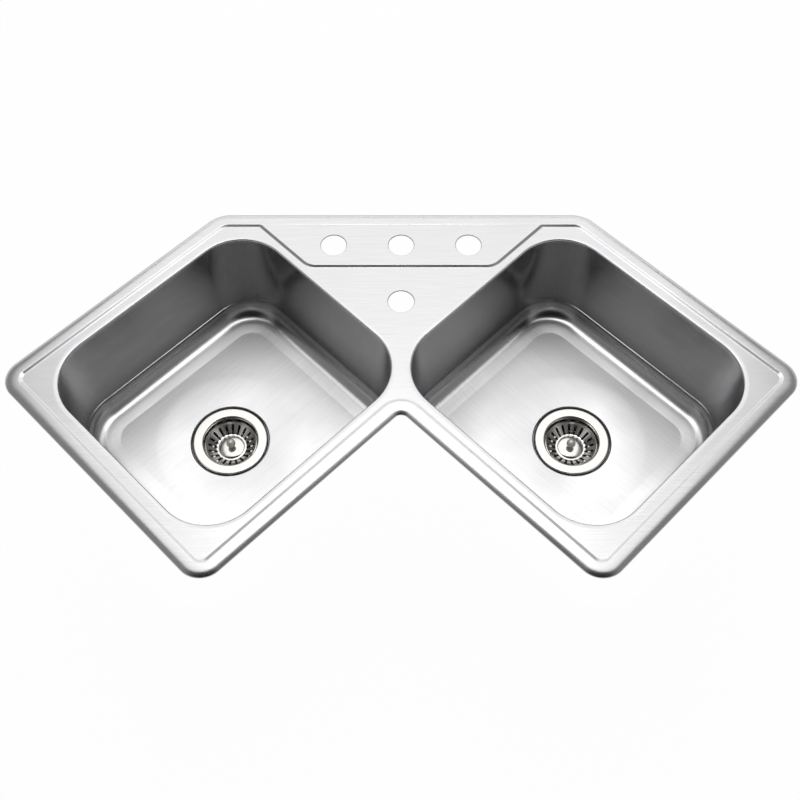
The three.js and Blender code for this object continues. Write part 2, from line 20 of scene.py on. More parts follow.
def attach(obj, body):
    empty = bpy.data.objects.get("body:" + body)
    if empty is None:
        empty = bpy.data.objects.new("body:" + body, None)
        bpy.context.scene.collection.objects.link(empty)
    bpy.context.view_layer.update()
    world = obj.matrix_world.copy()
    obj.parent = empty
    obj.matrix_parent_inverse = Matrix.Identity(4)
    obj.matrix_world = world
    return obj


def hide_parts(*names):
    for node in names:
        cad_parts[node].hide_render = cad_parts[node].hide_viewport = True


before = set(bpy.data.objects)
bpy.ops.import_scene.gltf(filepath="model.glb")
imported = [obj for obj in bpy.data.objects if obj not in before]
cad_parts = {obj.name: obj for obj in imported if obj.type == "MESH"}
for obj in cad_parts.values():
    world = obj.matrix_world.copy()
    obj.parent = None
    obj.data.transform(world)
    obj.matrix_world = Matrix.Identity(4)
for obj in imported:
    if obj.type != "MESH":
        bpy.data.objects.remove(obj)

LOG = logging.getLogger("sink")
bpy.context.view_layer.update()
MM = 0.001
# In metres: points that are closer than this are one.
MERGE = 1e-6
# In millimetres: the least step inwards of a pressed wall.
LEAST_INSET = 1e-4
DIAGONAL = math.sqrt(0.5)

Point = tuple[float, float, float]
Line = Sequence[tuple[float, float]]


# ------------------------------------------------------------------ sizes that the pieces share


class Side(Enum):
    """The two legs of the sink, by the sign of their X."""

    LEFT = -1
    RIGHT = 1

    @property
    def prefix(self) -> str:
        """The start of the names of the leg's pieces."""
        return self.name.lower()

    @property
    def turn(self) -> float:
        """Turn about Z from the leg's own frame, with +X towards the leg's end."""
        return math.radians(-90 + 45 * self.value)

    @property
    def front(self) -> int:
        """Which side of the leg's own X axis faces the user."""
        return -self.value


@dataclass(frozen=True)
class Corner:
    """A corner of an outline in plan, with the radius that rounds it."""

    x: float
    y: float
    radius: float = 0.0


@dataclass(frozen=True)
class Edge:
    """A straight edge of the deck: its middle, its direction and its length between the corners."""

    name: str
    x: float
    y: float
    turn: float
    length: float


@dataclass(frozen=True)
class Plan:
    """Plan and heights of the sink, the same as the CAD's."""

    leg_length: float = 810.0
    leg_width: float = 443.0
    back_cut: float = 396.0
    back_edge: float = 5.0
    end_radius: float = 35.0
    back_radius: float = 42.0
    notch_radius: float = 12.0
    rim_height: float = 4.5
    rim_width: float = 20.0
    deck_height: float = 2.5
    sheet: float = 1.0
    gap: float = 0.3
    end_margin: float = 39.0
    back_margin: float = 37.0
    front_margin: float = 36.0
    corner_overrun: float = 66.0
    bowl_radius: float = 80.0
    roll_inset: float = 3.0
    roll_radius: float = 3.2
    collar_end: float = -5.5
    drain_offset: float = 20.0
    recess_floor: float = -180.5
    edge_names: tuple[str, ...] = (
        "back", "left_back", "left_end", "left_front", "right_front", "right_end", "right_back"
    )

    @property
    def back_corner(self) -> float:
        """Y of the theoretical back corner, where the legs' back edges would meet."""
        return self.back_edge + self.back_cut * DIAGONAL

    @property
    def bowl_start(self) -> float:
        """From the back corner to a bowl's opening, along the leg."""
        return self.leg_width - self.corner_overrun

    @property
    def bowl_length(self) -> float:
        """Length of an opening along its leg."""
        return self.leg_length - self.end_margin - self.bowl_start

    @property
    def bowl_width(self) -> float:
        """Width of an opening across its leg."""
        return self.leg_width - self.back_margin - self.front_margin

    def leg_point(self, side: Side, along: float, across: float) -> tuple[float, float]:
        """A point of a leg.

        Args:
            side: The leg.
            along: From the back corner, along the leg.
            across: From the leg's back edge.

        Returns:
            The point's x and y.
        """
        x = side.value * DIAGONAL * (along - across)
        return x, self.back_corner - DIAGONAL * (along + across)

    def bowl_centre(self, side: Side, offset: float = 0.0) -> tuple[float, float]:
        """The middle of a bowl's opening, or a point off it towards the leg's end."""
        along = self.bowl_start + self.bowl_length / 2 + offset
        return self.leg_point(side, along, self.back_margin + self.bowl_width / 2)

    def drain(self, side: Side) -> tuple[float, float]:
        """The axis of a bowl's drain."""
        return self.bowl_centre(side, self.drain_offset)

    def edges(self) -> list[Edge]:
        """The deck's seven edges, in the order of its corners."""
        corners = self.outline()
        made = []
        for name, start, end in zip(self.edge_names, corners, [*corners[1:], corners[0]]):
            x, y = end.x - start.x, end.y - start.y
            middle = ((start.x + end.x) / 2, (start.y + end.y) / 2)
            made.append(Edge(name, *middle, math.atan2(y, x), math.hypot(x, y)))
        return made

    def outline(self, outset: float = 0.0) -> list[Corner]:
        """The deck's seven corners, anticlockwise from the right end of the back edge.

        Args:
            outset: How far the outline is moved outwards, or inwards where it is negative.

        Returns:
            The corners, each with its radius.
        """
        left, right = Side.LEFT, Side.RIGHT
        cut = self.back_cut - outset * (math.sqrt(2) - 1)
        start, far, wide = -outset, self.leg_length + outset, self.leg_width + outset
        convex, hollow = self.end_radius + outset, max(self.notch_radius - outset, 1.0)
        back = self.back_radius + outset
        places = [
            (right, cut, start, back),
            (left, cut, start, back),
            (left, far, start, convex),
            (left, far, wide, convex),
            (left, wide, wide, hollow),
            (right, far, wide, convex),
            (right, far, start, convex),
        ]
        return [Corner(*self.leg_point(side, a, b), r) for side, a, b, r in places]


PLAN = Plan()


def block(length: float, width: float, radius: float) -> list[Corner]:
    """The corners of a rounded rectangle about the origin, anticlockwise."""
    signs = ((1, 1), (-1, 1), (-1, -1), (1, -1))
    return [Corner(sx * length / 2, sy * width / 2, radius) for sx, sy in signs]


def oblong(width: float, low: float, high: float) -> Line:
    """The section of a rectangular bar as (y, z), about Y = 0."""
    return [(-width / 2, low), (width / 2, low), (width / 2, high), (-width / 2, high)]


def quarter(radius: float, steps: int) -> list[tuple[float, float]]:
    """A quarter round that starts level and ends upright, as (inwards, down) from its start."""
    angles = [math.pi / 2 * i / steps for i in range(1, steps + 1)]
    return [(radius * math.sin(a), radius * (1 - math.cos(a))) for a in angles]


def thread(radius: float, bottom: float, top: float, pitch: float, depth: float) -> Line:
    """The section of a thread as a row of grooves.

    Args:
        radius: Its outer radius.
        bottom: Height of its lower end.
        top: Height that it doesn't pass.
        pitch: Height of a groove.
        depth: Depth of a groove.

    Returns:
        Points as (radius, z), upwards.
    """
    count = int((top - bottom) / pitch + 1e-6)
    line: list[tuple[float, float]] = []
    for i in range(count):
        z = bottom + i * pitch
        line += [(radius, z), (radius - depth, z + pitch / 2)]
    return [*line, (radius, bottom + count * pitch)]


# ------------------------------------------------------------------ modelling


class Part(Enum):
    """What edit mode selects."""

    VERT = "VERT"
    EDGE = "EDGE"
    FACE = "FACE"


def rest() -> None:
    """Leaves edit mode and deselects everything."""
    if bpy.context.object is not None and bpy.context.object.mode != "OBJECT":
        bpy.ops.object.mode_set(mode="OBJECT")
    bpy.ops.object.select_all(action="DESELECT")


def circle(
    name: str, count: int, radius: float = 1.0, place: Point = (0.0, 0.0, 0.0), filled: bool = True
) -> "Workpiece":
    """Starts a piece as a circle.

    Args:
        name: The piece's name.
        count: Its number of vertices.
        radius: Its radius.
        place: Its centre.
        filled: Whether it has a face.

    Returns:
        The workpiece in edit mode, with its face selected.
    """
    rest()
    bpy.ops.mesh.primitive_circle_add(
        vertices=count,
        radius=radius * MM,
        fill_type="NGON" if filled else "NOTHING",
        location=Vector(place) * MM,
    )
    piece = Workpiece(name, bpy.context.object)
    bpy.ops.object.transform_apply(location=True, rotation=True, scale=True)
    piece.edit()
    piece.select_faces()
    return piece


class Workpiece:
    """A mesh that is shaped by edit-mode operators and then set in its place."""

    def __init__(self, name: str, obj: bpy.types.Object) -> None:
        """Takes an object that has just been made, and gives it its name."""
        self.obj = obj
        obj.name = name
        obj.data.name = name

    # ---- starts

    @classmethod
    def outline(
        cls, name: str, corners: Sequence[Corner], z: float = 0.0, segments: int = 16
    ) -> "Workpiece":
        """A flat face with rounded corners.

        Args:
            name: The piece's name.
            corners: Its corners, anticlockwise.
            z: Its height.
            segments: Edges in each rounded corner.

        Returns:
            The workpiece in edit mode, with its face selected.
        """
        piece = circle(name, len(corners))
        piece.shape([(c.x, c.y, z) for c in corners])
        for i, corner in enumerate(corners):
            if corner.radius:
                before, after = corners[i - 1], corners[(i + 1) % len(corners)]
                into = Vector((corner.x - before.x, corner.y - before.y)).normalized()
                out = Vector((after.x - corner.x, after.y - corner.y)).normalized()
                here = Vector((corner.x, corner.y, z)) * MM
                piece.select(Part.VERT, lambda v: (v.co - here).length < 0.01 * MM)
                bpy.ops.mesh.bevel(
                    offset=corner.radius * math.tan(into.angle(out) / 2) * MM,
                    offset_type="OFFSET",
                    segments=segments,
                    affect="VERTICES",
                )
        piece.select_faces()
        return piece

    @classmethod
    def turned(cls, name: str, section: Line, steps: int = 96, closed: bool = True) -> "Workpiece":
        """A piece spun about Z from its section, in edit mode.

        Args:
            name: The piece's name.
            section: Points as (radius, z).
            steps: Edges round the piece.
            closed: Whether the section closes on itself.

        Returns:
            The workpiece.
        """
        piece = circle(name, len(section), filled=False)
        piece.shape([(r, 0.0, z) for r, z in section])
        if not closed:
            ends = {0, len(section) - 1}
            piece.select(Part.EDGE, lambda e: {v.index for v in e.verts} == ends)
            bpy.ops.mesh.delete(type="EDGE")
        bpy.ops.mesh.select_mode(type="VERT")
        bpy.ops.mesh.select_all(action="SELECT")
        bpy.ops.mesh.spin(
            steps=steps, angle=2 * math.pi, center=(0, 0, 0), axis=(0, 0, 1), use_auto_merge=True
        )
        piece.tidy()
        return piece

    @classmethod
    def bar(cls, name: str, outline: Line, length: float) -> "Workpiece":
        """A bar along X with a closed outline of (y, z) points, centred on X = 0."""
        piece = circle(name, len(outline))
        piece.shape([(-length / 2, y, z) for y, z in outline])
        piece.select_faces()
        return piece.drawn((length, 0, 0))

    @classmethod
    def run(cls, name: str, corners: Sequence[Corner], length: float) -> "Workpiece":
        """A section with rounded corners in (y, z), run along X and centred on X = 0."""
        piece = cls.outline(name, corners, -length / 2, 5).drawn((0, 0, length))
        piece.put(Matrix(((0, 0, 1, 0), (1, 0, 0, 0), (0, 1, 0, 0), (0, 0, 0, 1))))
        return piece

    @classmethod
    def hexagon(cls, name: str, flats: float, bottom: float, top: float) -> "Workpiece":
        """A six-sided bar about Z, in edit mode, with its size across the flats."""
        size = flats / math.sqrt(3)
        angles = [math.pi / 3 * i for i in range(6)]
        corners = [Corner(size * math.cos(a), size * math.sin(a)) for a in angles]
        return cls.outline(name, corners, bottom).drawn((0, 0, top - bottom))

    @classmethod
    def drill(cls, radius: float, low: float, high: float) -> "Workpiece":
        """A round tool about Z that cuts a hole."""
        return cls.turned("drill", [(0.0, high), (radius, high), (radius, low), (0.0, low)], 32, closed=False)

    # ---- edit mode

    def edit(self) -> None:
        """Goes into edit mode on this piece alone."""
        self.activate()
        bpy.ops.object.mode_set(mode="EDIT")

    def shape(self, points: Iterable[Point]) -> None:
        """Moves the vertices, in their order, to points in millimetres."""
        for i, point in enumerate(points):
            mesh = self.select(Part.VERT, lambda v: v.index == i)
            mesh.verts.ensure_lookup_table()
            bpy.ops.transform.translate(value=Vector(point) * MM - mesh.verts[i].co)

    def select(self, part: Part, test: Callable) -> bmesh.types.BMesh:
        """Selects the vertices, edges or faces that pass a test and nothing else, and returns the mesh."""
        bpy.ops.mesh.select_mode(type=part.value)
        bpy.ops.mesh.select_all(action="DESELECT")
        mesh = bmesh.from_edit_mesh(self.obj.data)
        group = {Part.VERT: mesh.verts, Part.EDGE: mesh.edges, Part.FACE: mesh.faces}[part]
        for element in group:
            if test(element):
                element.select_set(True)
        bmesh.update_edit_mesh(self.obj.data)
        return mesh

    def select_faces(self) -> None:
        """Selects every face."""
        self.select(Part.FACE, lambda f: True)

    def press(self, line: Line, height: float) -> None:
        """Insets the selected face along a line of (inset, z) points, as a press draws a sheet.

        Args:
            line: The points.
            height: Where the selected face is now.
        """
        inset = 0.0
        for across, z in line:
            bpy.ops.mesh.inset(
                thickness=max(across - inset, LEAST_INSET) * MM,
                depth=(z - height) * MM,
                use_even_offset=True,
            )
            inset, height = across, z

    def extrude(self, move: Point) -> None:
        """Extrudes what is selected by a move in millimetres."""
        value = Vector(move) * MM
        bpy.ops.mesh.extrude_region_move(TRANSFORM_OT_translate={"value": value})

    def drawn(self, move: Point) -> "Workpiece":
        """The piece with its face extruded into a closed bar."""
        self.extrude(move)
        self.tidy()
        return self

    def open_up(self) -> None:
        """Deletes the selected face and leaves its edges."""
        bpy.ops.mesh.delete(type="ONLY_FACE")

    def fill_level(self, z: float) -> None:
        """Fills the open loops that lie at a height, with the inner ones as holes."""
        self.select(Part.EDGE, lambda e: e.is_boundary and is_level(e, z))
        bpy.ops.mesh.fill(use_beauty=True)

    def face_up(self, z: float) -> None:
        """Makes the faces agree, with those at a height looking up."""
        bpy.ops.mesh.select_mode(type="FACE")
        bpy.ops.mesh.select_all(action="SELECT")
        bpy.ops.mesh.normals_make_consistent(inside=False)
        level = [f for f in bmesh.from_edit_mesh(self.obj.data).faces if is_level(f, z)]
        if sum(f.normal.z * f.calc_area() for f in level) < 0:
            bpy.ops.mesh.flip_normals()

    def tidy(self) -> None:
        """Merges doubles and turns the faces of a closed piece outwards."""
        bpy.ops.mesh.select_mode(type="VERT")
        bpy.ops.mesh.select_all(action="SELECT")
        bpy.ops.mesh.remove_doubles(threshold=MERGE)
        bpy.ops.mesh.normals_make_consistent(inside=False)

    # ---- object mode

    def activate(self, *others: "Workpiece") -> None:
        """Leaves edit mode and selects this piece, and the others with it."""
        rest()
        for piece in (*others, self):
            piece.obj.select_set(True)
        bpy.context.view_layer.objects.active = self.obj

    def modify(self, kind: str, **settings: object) -> None:
        """Adds a modifier with its settings and applies it."""
        self.activate()
        modifier = self.obj.modifiers.new(kind, kind)
        for key, value in settings.items():
            setattr(modifier, key, value)
        bpy.ops.object.modifier_apply(modifier=modifier.name)

    def soften(self, width: float, segments: int = 2) -> None:
        """Bevels the edges that are sharper than 30 degrees, with a modifier that is applied."""
        self.modify("BEVEL", width=width * MM, segments=segments, angle_limit=math.radians(30))

    def thicken(self, sheet: float) -> None:
        """Gives an open sheet its thickness, behind its faces."""
        self.modify("SOLIDIFY", thickness=sheet * MM, offset=-1.0)

    def cut(self, tool: "Workpiece") -> None:
        """Cuts a tool's shape out of the piece and removes the tool."""
        self.modify("BOOLEAN", operation="DIFFERENCE", object=tool.obj, solver="EXACT")
        bpy.data.objects.remove(tool.obj)

    def join(self, *others: "Workpiece") -> None:
        """Makes other workpieces part of this one."""
        self.activate(*others)
        bpy.ops.object.join()

    def copy(self, name: str) -> "Workpiece":
        """A copy with a mesh of its own."""
        rest()
        twin = self.obj.copy()
        twin.data = self.obj.data.copy()
        bpy.context.scene.collection.objects.link(twin)
        return Workpiece(name, twin)

    def ring_of(self, count: int) -> None:
        """Copies the piece round Z, so that it stands there a number of times."""
        copies = [self.copy(f"{self.obj.name}_{i}") for i in range(1, count)]
        for i, copy in enumerate(copies, 1):
            copy.place(turn=2 * math.pi * i / count)
        self.join(*copies)

    def put(self, matrix: Matrix) -> None:
        """Moves the piece by a matrix in metres, and puts its place into its mesh."""
        self.activate()
        self.obj.matrix_world = matrix
        bpy.ops.object.transform_apply(location=True, rotation=True, scale=True)

    def place(self, x: float = 0.0, y: float = 0.0, z: float = 0.0, turn: float = 0.0) -> None:
        """Turns the piece about Z and moves it."""
        self.put(Matrix.Translation(Vector((x, y, z)) * MM) @ Matrix.Rotation(turn, 4, "Z"))

    def smooth(self, angle: float) -> None:
        """Smooth shading up to an angle, with flat faces kept flat."""
        self.activate()
        bpy.ops.object.shade_smooth_by_angle(angle=math.radians(angle))
        self.modify("WEIGHTED_NORMAL", keep_sharp=True)

    def finish(self, look: "Look", node: str, body: str = "sink", angle: float = 35.0) -> None:
        """Smooths the piece, gives it its finish and tells the frame what it is.

        Args:
            look: Its finish.
            node: The CAD node that it stands for.
            body: The CAD body that it moves with.
            angle: The sharpest angle, in degrees, that is shaded smooth.
        """
        self.smooth(angle)
        rest()
        self.obj.data.materials.clear()
        self.obj.data.materials.append(look.material)
        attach(self.obj, body)
        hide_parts(node)
        LOG.info("%s: %d faces, on %s", self.obj.name, len(self.obj.data.polygons), body)


def is_level(element: bmesh.types.BMEdge | bmesh.types.BMFace, z: float) -> bool:
    """Whether all of an edge or a face lies at a height."""
    return all(abs(v.co.z - z * MM) < MERGE for v in element.verts)


# ------------------------------------------------------------------ finishes

Tree = bpy.types.NodeTree
Socket = bpy.types.NodeSocket


def linear(hex_colour: str) -> tuple[float, float, float, float]:
    """An sRGB hex colour as linear red, green, blue and alpha."""
    parts = [int(hex_colour.lstrip("#")[i : i + 2], 16) / 255 for i in (0, 2, 4)]
    return *[p / 12.92 if p <= 0.04045 else ((p + 0.055) / 1.055) ** 2.4 for p in parts], 1.0


def add_node(
    tree: Tree, kind: str, settings: dict[str, object] | None = None, **inputs: object
) -> bpy.types.Node:
    """Adds a node.

    Args:
        tree: The node tree.
        kind: The node's type.
        settings: Its properties.
        inputs: Its sockets' values, or the sockets that feed them. A socket's name has _ for a space, and one
            that goes by its number is written as n and the number.

    Returns:
        The node.
    """
    node = tree.nodes.new(kind)
    for key, value in (settings or {}).items():
        setattr(node, key, value)
    for name, value in inputs.items():
        key = int(name[1:]) if name[1:].isdigit() else name.replace("_", " ")
        if isinstance(value, Socket):
            tree.links.new(value, node.inputs[key])
        else:
            node.inputs[key].default_value = value
    return node


def calculate(tree: Tree, operation: str, *values: float | Socket) -> Socket:
    """The result of a sum on numbers or sockets."""
    inputs = {f"n{i}": value for i, value in enumerate(values)}
    return add_node(tree, "ShaderNodeMath", {"operation": operation}, **inputs).outputs[0]


def noise(tree: Tree, place: Socket, scale: float, detail: float, roughness: float = 0.5) -> Socket:
    """Soft noise from 0 to 1."""
    node = add_node(
        tree, "ShaderNodeTexNoise", Vector=place, Scale=scale, Detail=detail, Roughness=roughness
    )
    return node.outputs["Fac"]


def blend(tree: Tree, factor: Socket, start: str | Socket, end: str | Socket) -> Socket:
    """A colour between two hex colours or sockets."""
    first, last = (linear(c) if isinstance(c, str) else c for c in (start, end))
    node = add_node(tree, "ShaderNodeMix", {"data_type": "RGBA"}, Factor=factor, n6=first, n7=last)
    return node.outputs[2]


def step_up(tree: Tree, value: Socket, start: float, end: float) -> Socket:
    """A smooth step from 0 at one value to 1 at another."""
    settings = {"interpolation_type": "SMOOTHSTEP"}
    node = add_node(tree, "ShaderNodeMapRange", settings, Value=value, From_Min=start, From_Max=end)
    return node.outputs["Result"]


def spread_out(tree: Tree, value: Socket, middle: float, spread: float) -> Socket:
    """A number that varies about its middle with a noise."""
    low, high = middle - spread / 2, middle + spread / 2
    node = add_node(
        tree, "ShaderNodeMapRange", Value=value, From_Min=0.3, From_Max=0.7, To_Min=low, To_Max=high
    )
    return node.outputs["Result"]


def laid_out(tree: Tree, place: Socket, turn: float, centre: Point = (0.0, 0.0, 0.0)) -> Socket:
    """A place as seen from a centre in metres, with X along a direction in plan."""
    settings = {"vector_type": "TEXTURE"}
    node = add_node(
        tree, "ShaderNodeMapping", settings, Vector=place, Location=centre, Rotation=(0.0, 0.0, turn)
    )
    return node.outputs["Vector"]


def scaled(tree: Tree, place: Socket, scale: Point) -> Socket:
    """A place multiplied by a scale."""
    node = add_node(tree, "ShaderNodeMapping", {"vector_type": "POINT"}, Vector=place, Scale=scale)
    return node.outputs["Vector"]


def new_material(name: str) -> bpy.types.Material:
    """An empty node material."""
    material = bpy.data.materials.new(name)
    material.use_nodes = True
    material.node_tree.nodes.clear()
    return material


@dataclass(frozen=True)
class Look:
    """A material, with a slot name that is not used."""

    material: bpy.types.Material
    slot: str


@dataclass(frozen=True)
class Finish:
    """A finish by its name and a slot name that is not used; each kind has a pattern of its own."""

    name: str
    slot: str

    def build(self) -> Look:
        """Makes the material."""
        material = new_material(self.name)
        tree = material.node_tree
        place = add_node(tree, "ShaderNodeTexCoord").outputs["Object"]
        tone, blur, height, relief_mm, metallic = self.pattern(tree, place)
        relief = add_node(
            tree, "ShaderNodeBump", Height=height, Strength=1.0, Distance=relief_mm * MM
        ).outputs["Normal"]
        shader = add_node(
            tree,
            "ShaderNodeBsdfPrincipled",
            Base_Color=tone,
            Metallic=metallic,
            Roughness=blur,
            Normal=relief,
        )
        add_node(tree, "ShaderNodeOutputMaterial", Surface=shader.outputs["BSDF"])
        return Look(material, self.slot)

    def pattern(self, tree: Tree, place: Socket) -> tuple[Socket, Socket | float, Socket, float, float]:
        """The nodes of the finish's own pattern.

        Args:
            tree: The node tree.
            place: The place on the object.

        Returns:
            The colour, the roughness, the height, the relief in millimetres and how metallic it is.
        """
        raise NotImplementedError


class Grain(Enum):
    """How the lines of a brushed or turned face run."""

    STRAIGHT = "straight"
    RINGS = "rings"


@dataclass(frozen=True)
class Steel(Finish):
    """Stainless steel sheet with a directional grain: a soft mirror, blurred across its lines.

    The real lines are some 0.05 mm apart, too fine to show, so they are drawn coarser.
    """

    colour: str = "#c8c8c9"
    dark: str = "#b1b1b2"
    roughness: float = 0.26
    spread: float = 0.08
    grain: Grain = Grain.STRAIGHT
    turn: float = 0.0
    centre: tuple[float, float] = (0.0, 0.0)
    line_mm: float = 1.1
    run_mm: float = 70.0
    relief_mm: float = 0.004
    cloud_scale: float = 9.0
    # Below this height the steel is rougher (a real satin) and paler in colour; the paler colour is painted
    # light that brightens the bowl's floor.
    satin_below: float | None = None
    satin_run: float = 1.2
    satin_gain: float = 0.24
    satin_colour: str = "#f2f2f3"
    satin_dark: str = "#d8d8d9"

    def pattern(self, tree: Tree, place: Socket) -> tuple[Socket, Socket, Socket, float, float]:
        """Drawn lines, with a cloudy roughness. Where it has a height, the steel below it gets a rougher
        satin and a paler colour, and the paler colour is painted light.
        """
        along = laid_out(tree, place, self.turn, (self.centre[0] * MM, self.centre[1] * MM, 0.0))
        if self.grain is Grain.RINGS:
            split = add_node(tree, "ShaderNodeSeparateXYZ", Vector=along).outputs
            flat = add_node(tree, "ShaderNodeCombineXYZ", X=split["X"], Y=split["Y"]).outputs["Vector"]
            radius = add_node(
                tree, "ShaderNodeVectorMath", {"operation": "LENGTH"}, n0=flat
            ).outputs["Value"]
            along = add_node(tree, "ShaderNodeCombineXYZ", Y=radius, Z=split["Z"]).outputs["Vector"]
        fine, coarse = 1 / (self.line_mm * MM), 1 / (self.run_mm * MM)
        lines = noise(tree, scaled(tree, along, (coarse, fine, 3 * coarse)), 1.0, 3.0, 0.65)
        clouds = noise(tree, place, self.cloud_scale, 2.0)
        tone = blend(tree, lines, self.dark, self.colour)
        blur = spread_out(tree, clouds, self.roughness, self.spread)
        if self.satin_below is not None:
            height = add_node(tree, "ShaderNodeSeparateXYZ", Vector=place).outputs["Z"]
            start, end = self.satin_below, self.satin_below - self.satin_run
            satin_and_painted_light_mask = step_up(tree, height, start * MM, end * MM)
            blur = calculate(tree, "MULTIPLY_ADD", satin_and_painted_light_mask, self.satin_gain, blur)
            # Painted light: a paler colour below the height, which brightens the floor.
            painted_light_tone = blend(tree, lines, self.satin_dark, self.satin_colour)
            tone = blend(tree, satin_and_painted_light_mask, tone, painted_light_tone)
        return tone, blur, lines, self.relief_mm, 1.0


@dataclass(frozen=True)
class Speckled(Finish):
    """A finish whose colour, gloss and relief vary from spot to spot, as on cast or moulded pieces."""

    colour: str
    other: str
    roughness: float
    spread: float
    spot_mm: float
    relief_mm: float
    metallic: float = 0.0

    def pattern(self, tree: Tree, place: Socket) -> tuple[Socket, Socket, Socket, float, float]:
        """Soft spots."""
        spots = noise(tree, place, 1 / (self.spot_mm * MM), 4.0)
        tone = blend(tree, spots, self.other, self.colour)
        blur = spread_out(tree, spots, self.roughness, self.spread)
        return tone, blur, spots, self.relief_mm, self.metallic


@dataclass(frozen=True)
class Embossed(Finish):
    """A matt sheet with rows of raised squares, as rolled into sound-deadening sheet.

    The rows lie in the sheet's own plane: level, or upright and square to the direction of turn.
    """

    turn: float
    level: bool
    colour: str = "#77797c"
    other: str = "#55575a"
    pitch_mm: float = 11.0
    square_edge: tuple[float, float] = (0.44, 0.36)
    grit_mm: float = 1.4
    grit_relief: float = 0.15
    relief_mm: float = 0.5
    roughness: float = 0.84

    def pattern(self, tree: Tree, place: Socket) -> tuple[Socket, float, Socket, float, float]:
        """Raised squares on a gritty ground."""
        rows = 1 / (self.pitch_mm * MM)
        across = rows if self.level else 0.0
        upwards = 0.0 if self.level else rows
        laid = scaled(tree, laid_out(tree, place, self.turn), (across, rows, upwards))
        squares = add_node(
            tree,
            "ShaderNodeTexVoronoi",
            {"distance": "CHEBYCHEV", "feature": "F1"},
            Vector=laid,
            Scale=1.0,
            Randomness=0.0,
        ).outputs["Distance"]
        raised = step_up(tree, squares, *self.square_edge)
        grit = noise(tree, place, 1 / (self.grit_mm * MM), 4.0)
        tone = blend(tree, raised, self.other, blend(tree, grit, self.other, self.colour))
        height = calculate(tree, "MULTIPLY_ADD", grit, self.grit_relief, raised)
        return tone, self.roughness, height, self.relief_mm, 0.0


class Finishes:
    """All the finishes of the sink, each made once."""

    def __init__(self) -> None:
        """Makes the finishes."""
        # Cold-rolled stainless sheet, pressed and brushed along the back edge: bright, with fine level lines.
        self.deck = Steel("brushed stainless sheet, deck", "brushed_steel").build()
        # Drawn stainless bowls, brushed along their leg: smooth on the walls, with a rougher satin floor
        # whose paler colour is painted light that brightens it.
        self.bowl = {
            side: Steel(
                f"brushed stainless sheet, {side.prefix} bowl",
                "brushed_steel",
                turn=side.turn,
                colour="#bfbfc0",
                dark="#a8a8a9",
                roughness=0.24,
                line_mm=1.6,
                satin_below=-171.9,
            ).build()
            for side in Side
        }
        # Spun stainless strainers, polished on the lathe: a clear mirror with faint rings.
        self.strainer = {
            side: Steel(
                f"polished stainless, {side.prefix} strainer",
                "polished_steel",
                colour="#d1cfcc",
                dark="#c7c5c1",
                roughness=0.18,
                spread=0.05,
                grain=Grain.RINGS,
                centre=PLAN.drain(side),
                line_mm=0.8,
                relief_mm=0.002,
            ).build()
            for side in Side
        }
        # Turned stainless knob, tumbled until satin: pale, with a soft highlight.
        self.knob = Speckled(
            "tumbled stainless", "polished_steel", "#f2efe9", "#e6e3dc",
            roughness=0.6, spread=0.08, spot_mm=1.5, relief_mm=0.004, metallic=1.0,
        ).build()
        # Rolled steel hardware, zinc plated: a cool grey with a dull, cloudy gloss.
        self.zinc = Speckled(
            "zinc-plated steel", "zinc_plate", "#b7babd", "#9fa3a7",
            roughness=0.38, spread=0.16, spot_mm=4.0, relief_mm=0.01, metallic=1.0,
        ).build()
        # Cast brass nuts, turned on the threads only: warm, with a sandy skin.
        self.brass = Speckled(
            "cast brass", "brass", "#c9a665", "#a9854a",
            roughness=0.36, spread=0.14, spot_mm=1.6, relief_mm=0.04, metallic=1.0,
        ).build()
        # Drawn brass tube with bright chrome plate: a clear, slightly blue mirror.
        self.chrome = Speckled(
            "chrome-plated tube", "chrome_tube", "#c3c6ca", "#b2b6bb",
            roughness=0.12, spread=0.05, spot_mm=12.0, relief_mm=0.002, metallic=1.0,
        ).build()
        # Moulded black rubber: matt, with a fine mould texture.
        self.rubber = Speckled(
            "moulded rubber", "seal_rubber", "#2a2a2b", "#1f1f20",
            roughness=0.72, spread=0.12, spot_mm=1.2, relief_mm=0.03,
        ).build()
        # Rolled bitumen-rubber sheet: dark grey, grainy and matt, with rows of raised squares.
        self.damping = {
            (side, pad): Embossed(
                f"rolled damping sheet, {side.prefix} {pad}", "pad_rubber", side.turn + turn, level
            ).build()
            for side in Side
            for pad, turn, level in (
                ("floor_pad", 0.0, True),
                ("end_pad", 0.0, False),
                ("front_pad", math.pi / 2, False),
            )
        }
        # Closed-cell foam tape: dark, with open pores on its cut faces.
        self.foam = Speckled(
            "closed-cell foam", "seal_foam", "#3c3c3d", "#2a2a2b",
            roughness=0.93, spread=0.06, spot_mm=0.9, relief_mm=0.1,
        ).build()
        # Pressed cellulose fibre: tan, with flecks and a dry face.
        self.fibre = Speckled(
            "pressed fibre", "fibre", "#ab9670", "#8e7951",
            roughness=0.88, spread=0.08, spot_mm=0.8, relief_mm=0.04,
        ).build()
        # Moulded polyethylene: milky white with a waxy gloss.
        self.plastic = Speckled(
            "moulded polyethylene", "white_plastic", "#ebe9e3", "#dfdcd4",
            roughness=0.42, spread=0.08, spot_mm=6.0, relief_mm=0.01,
        ).build()


# ------------------------------------------------------------------ deck


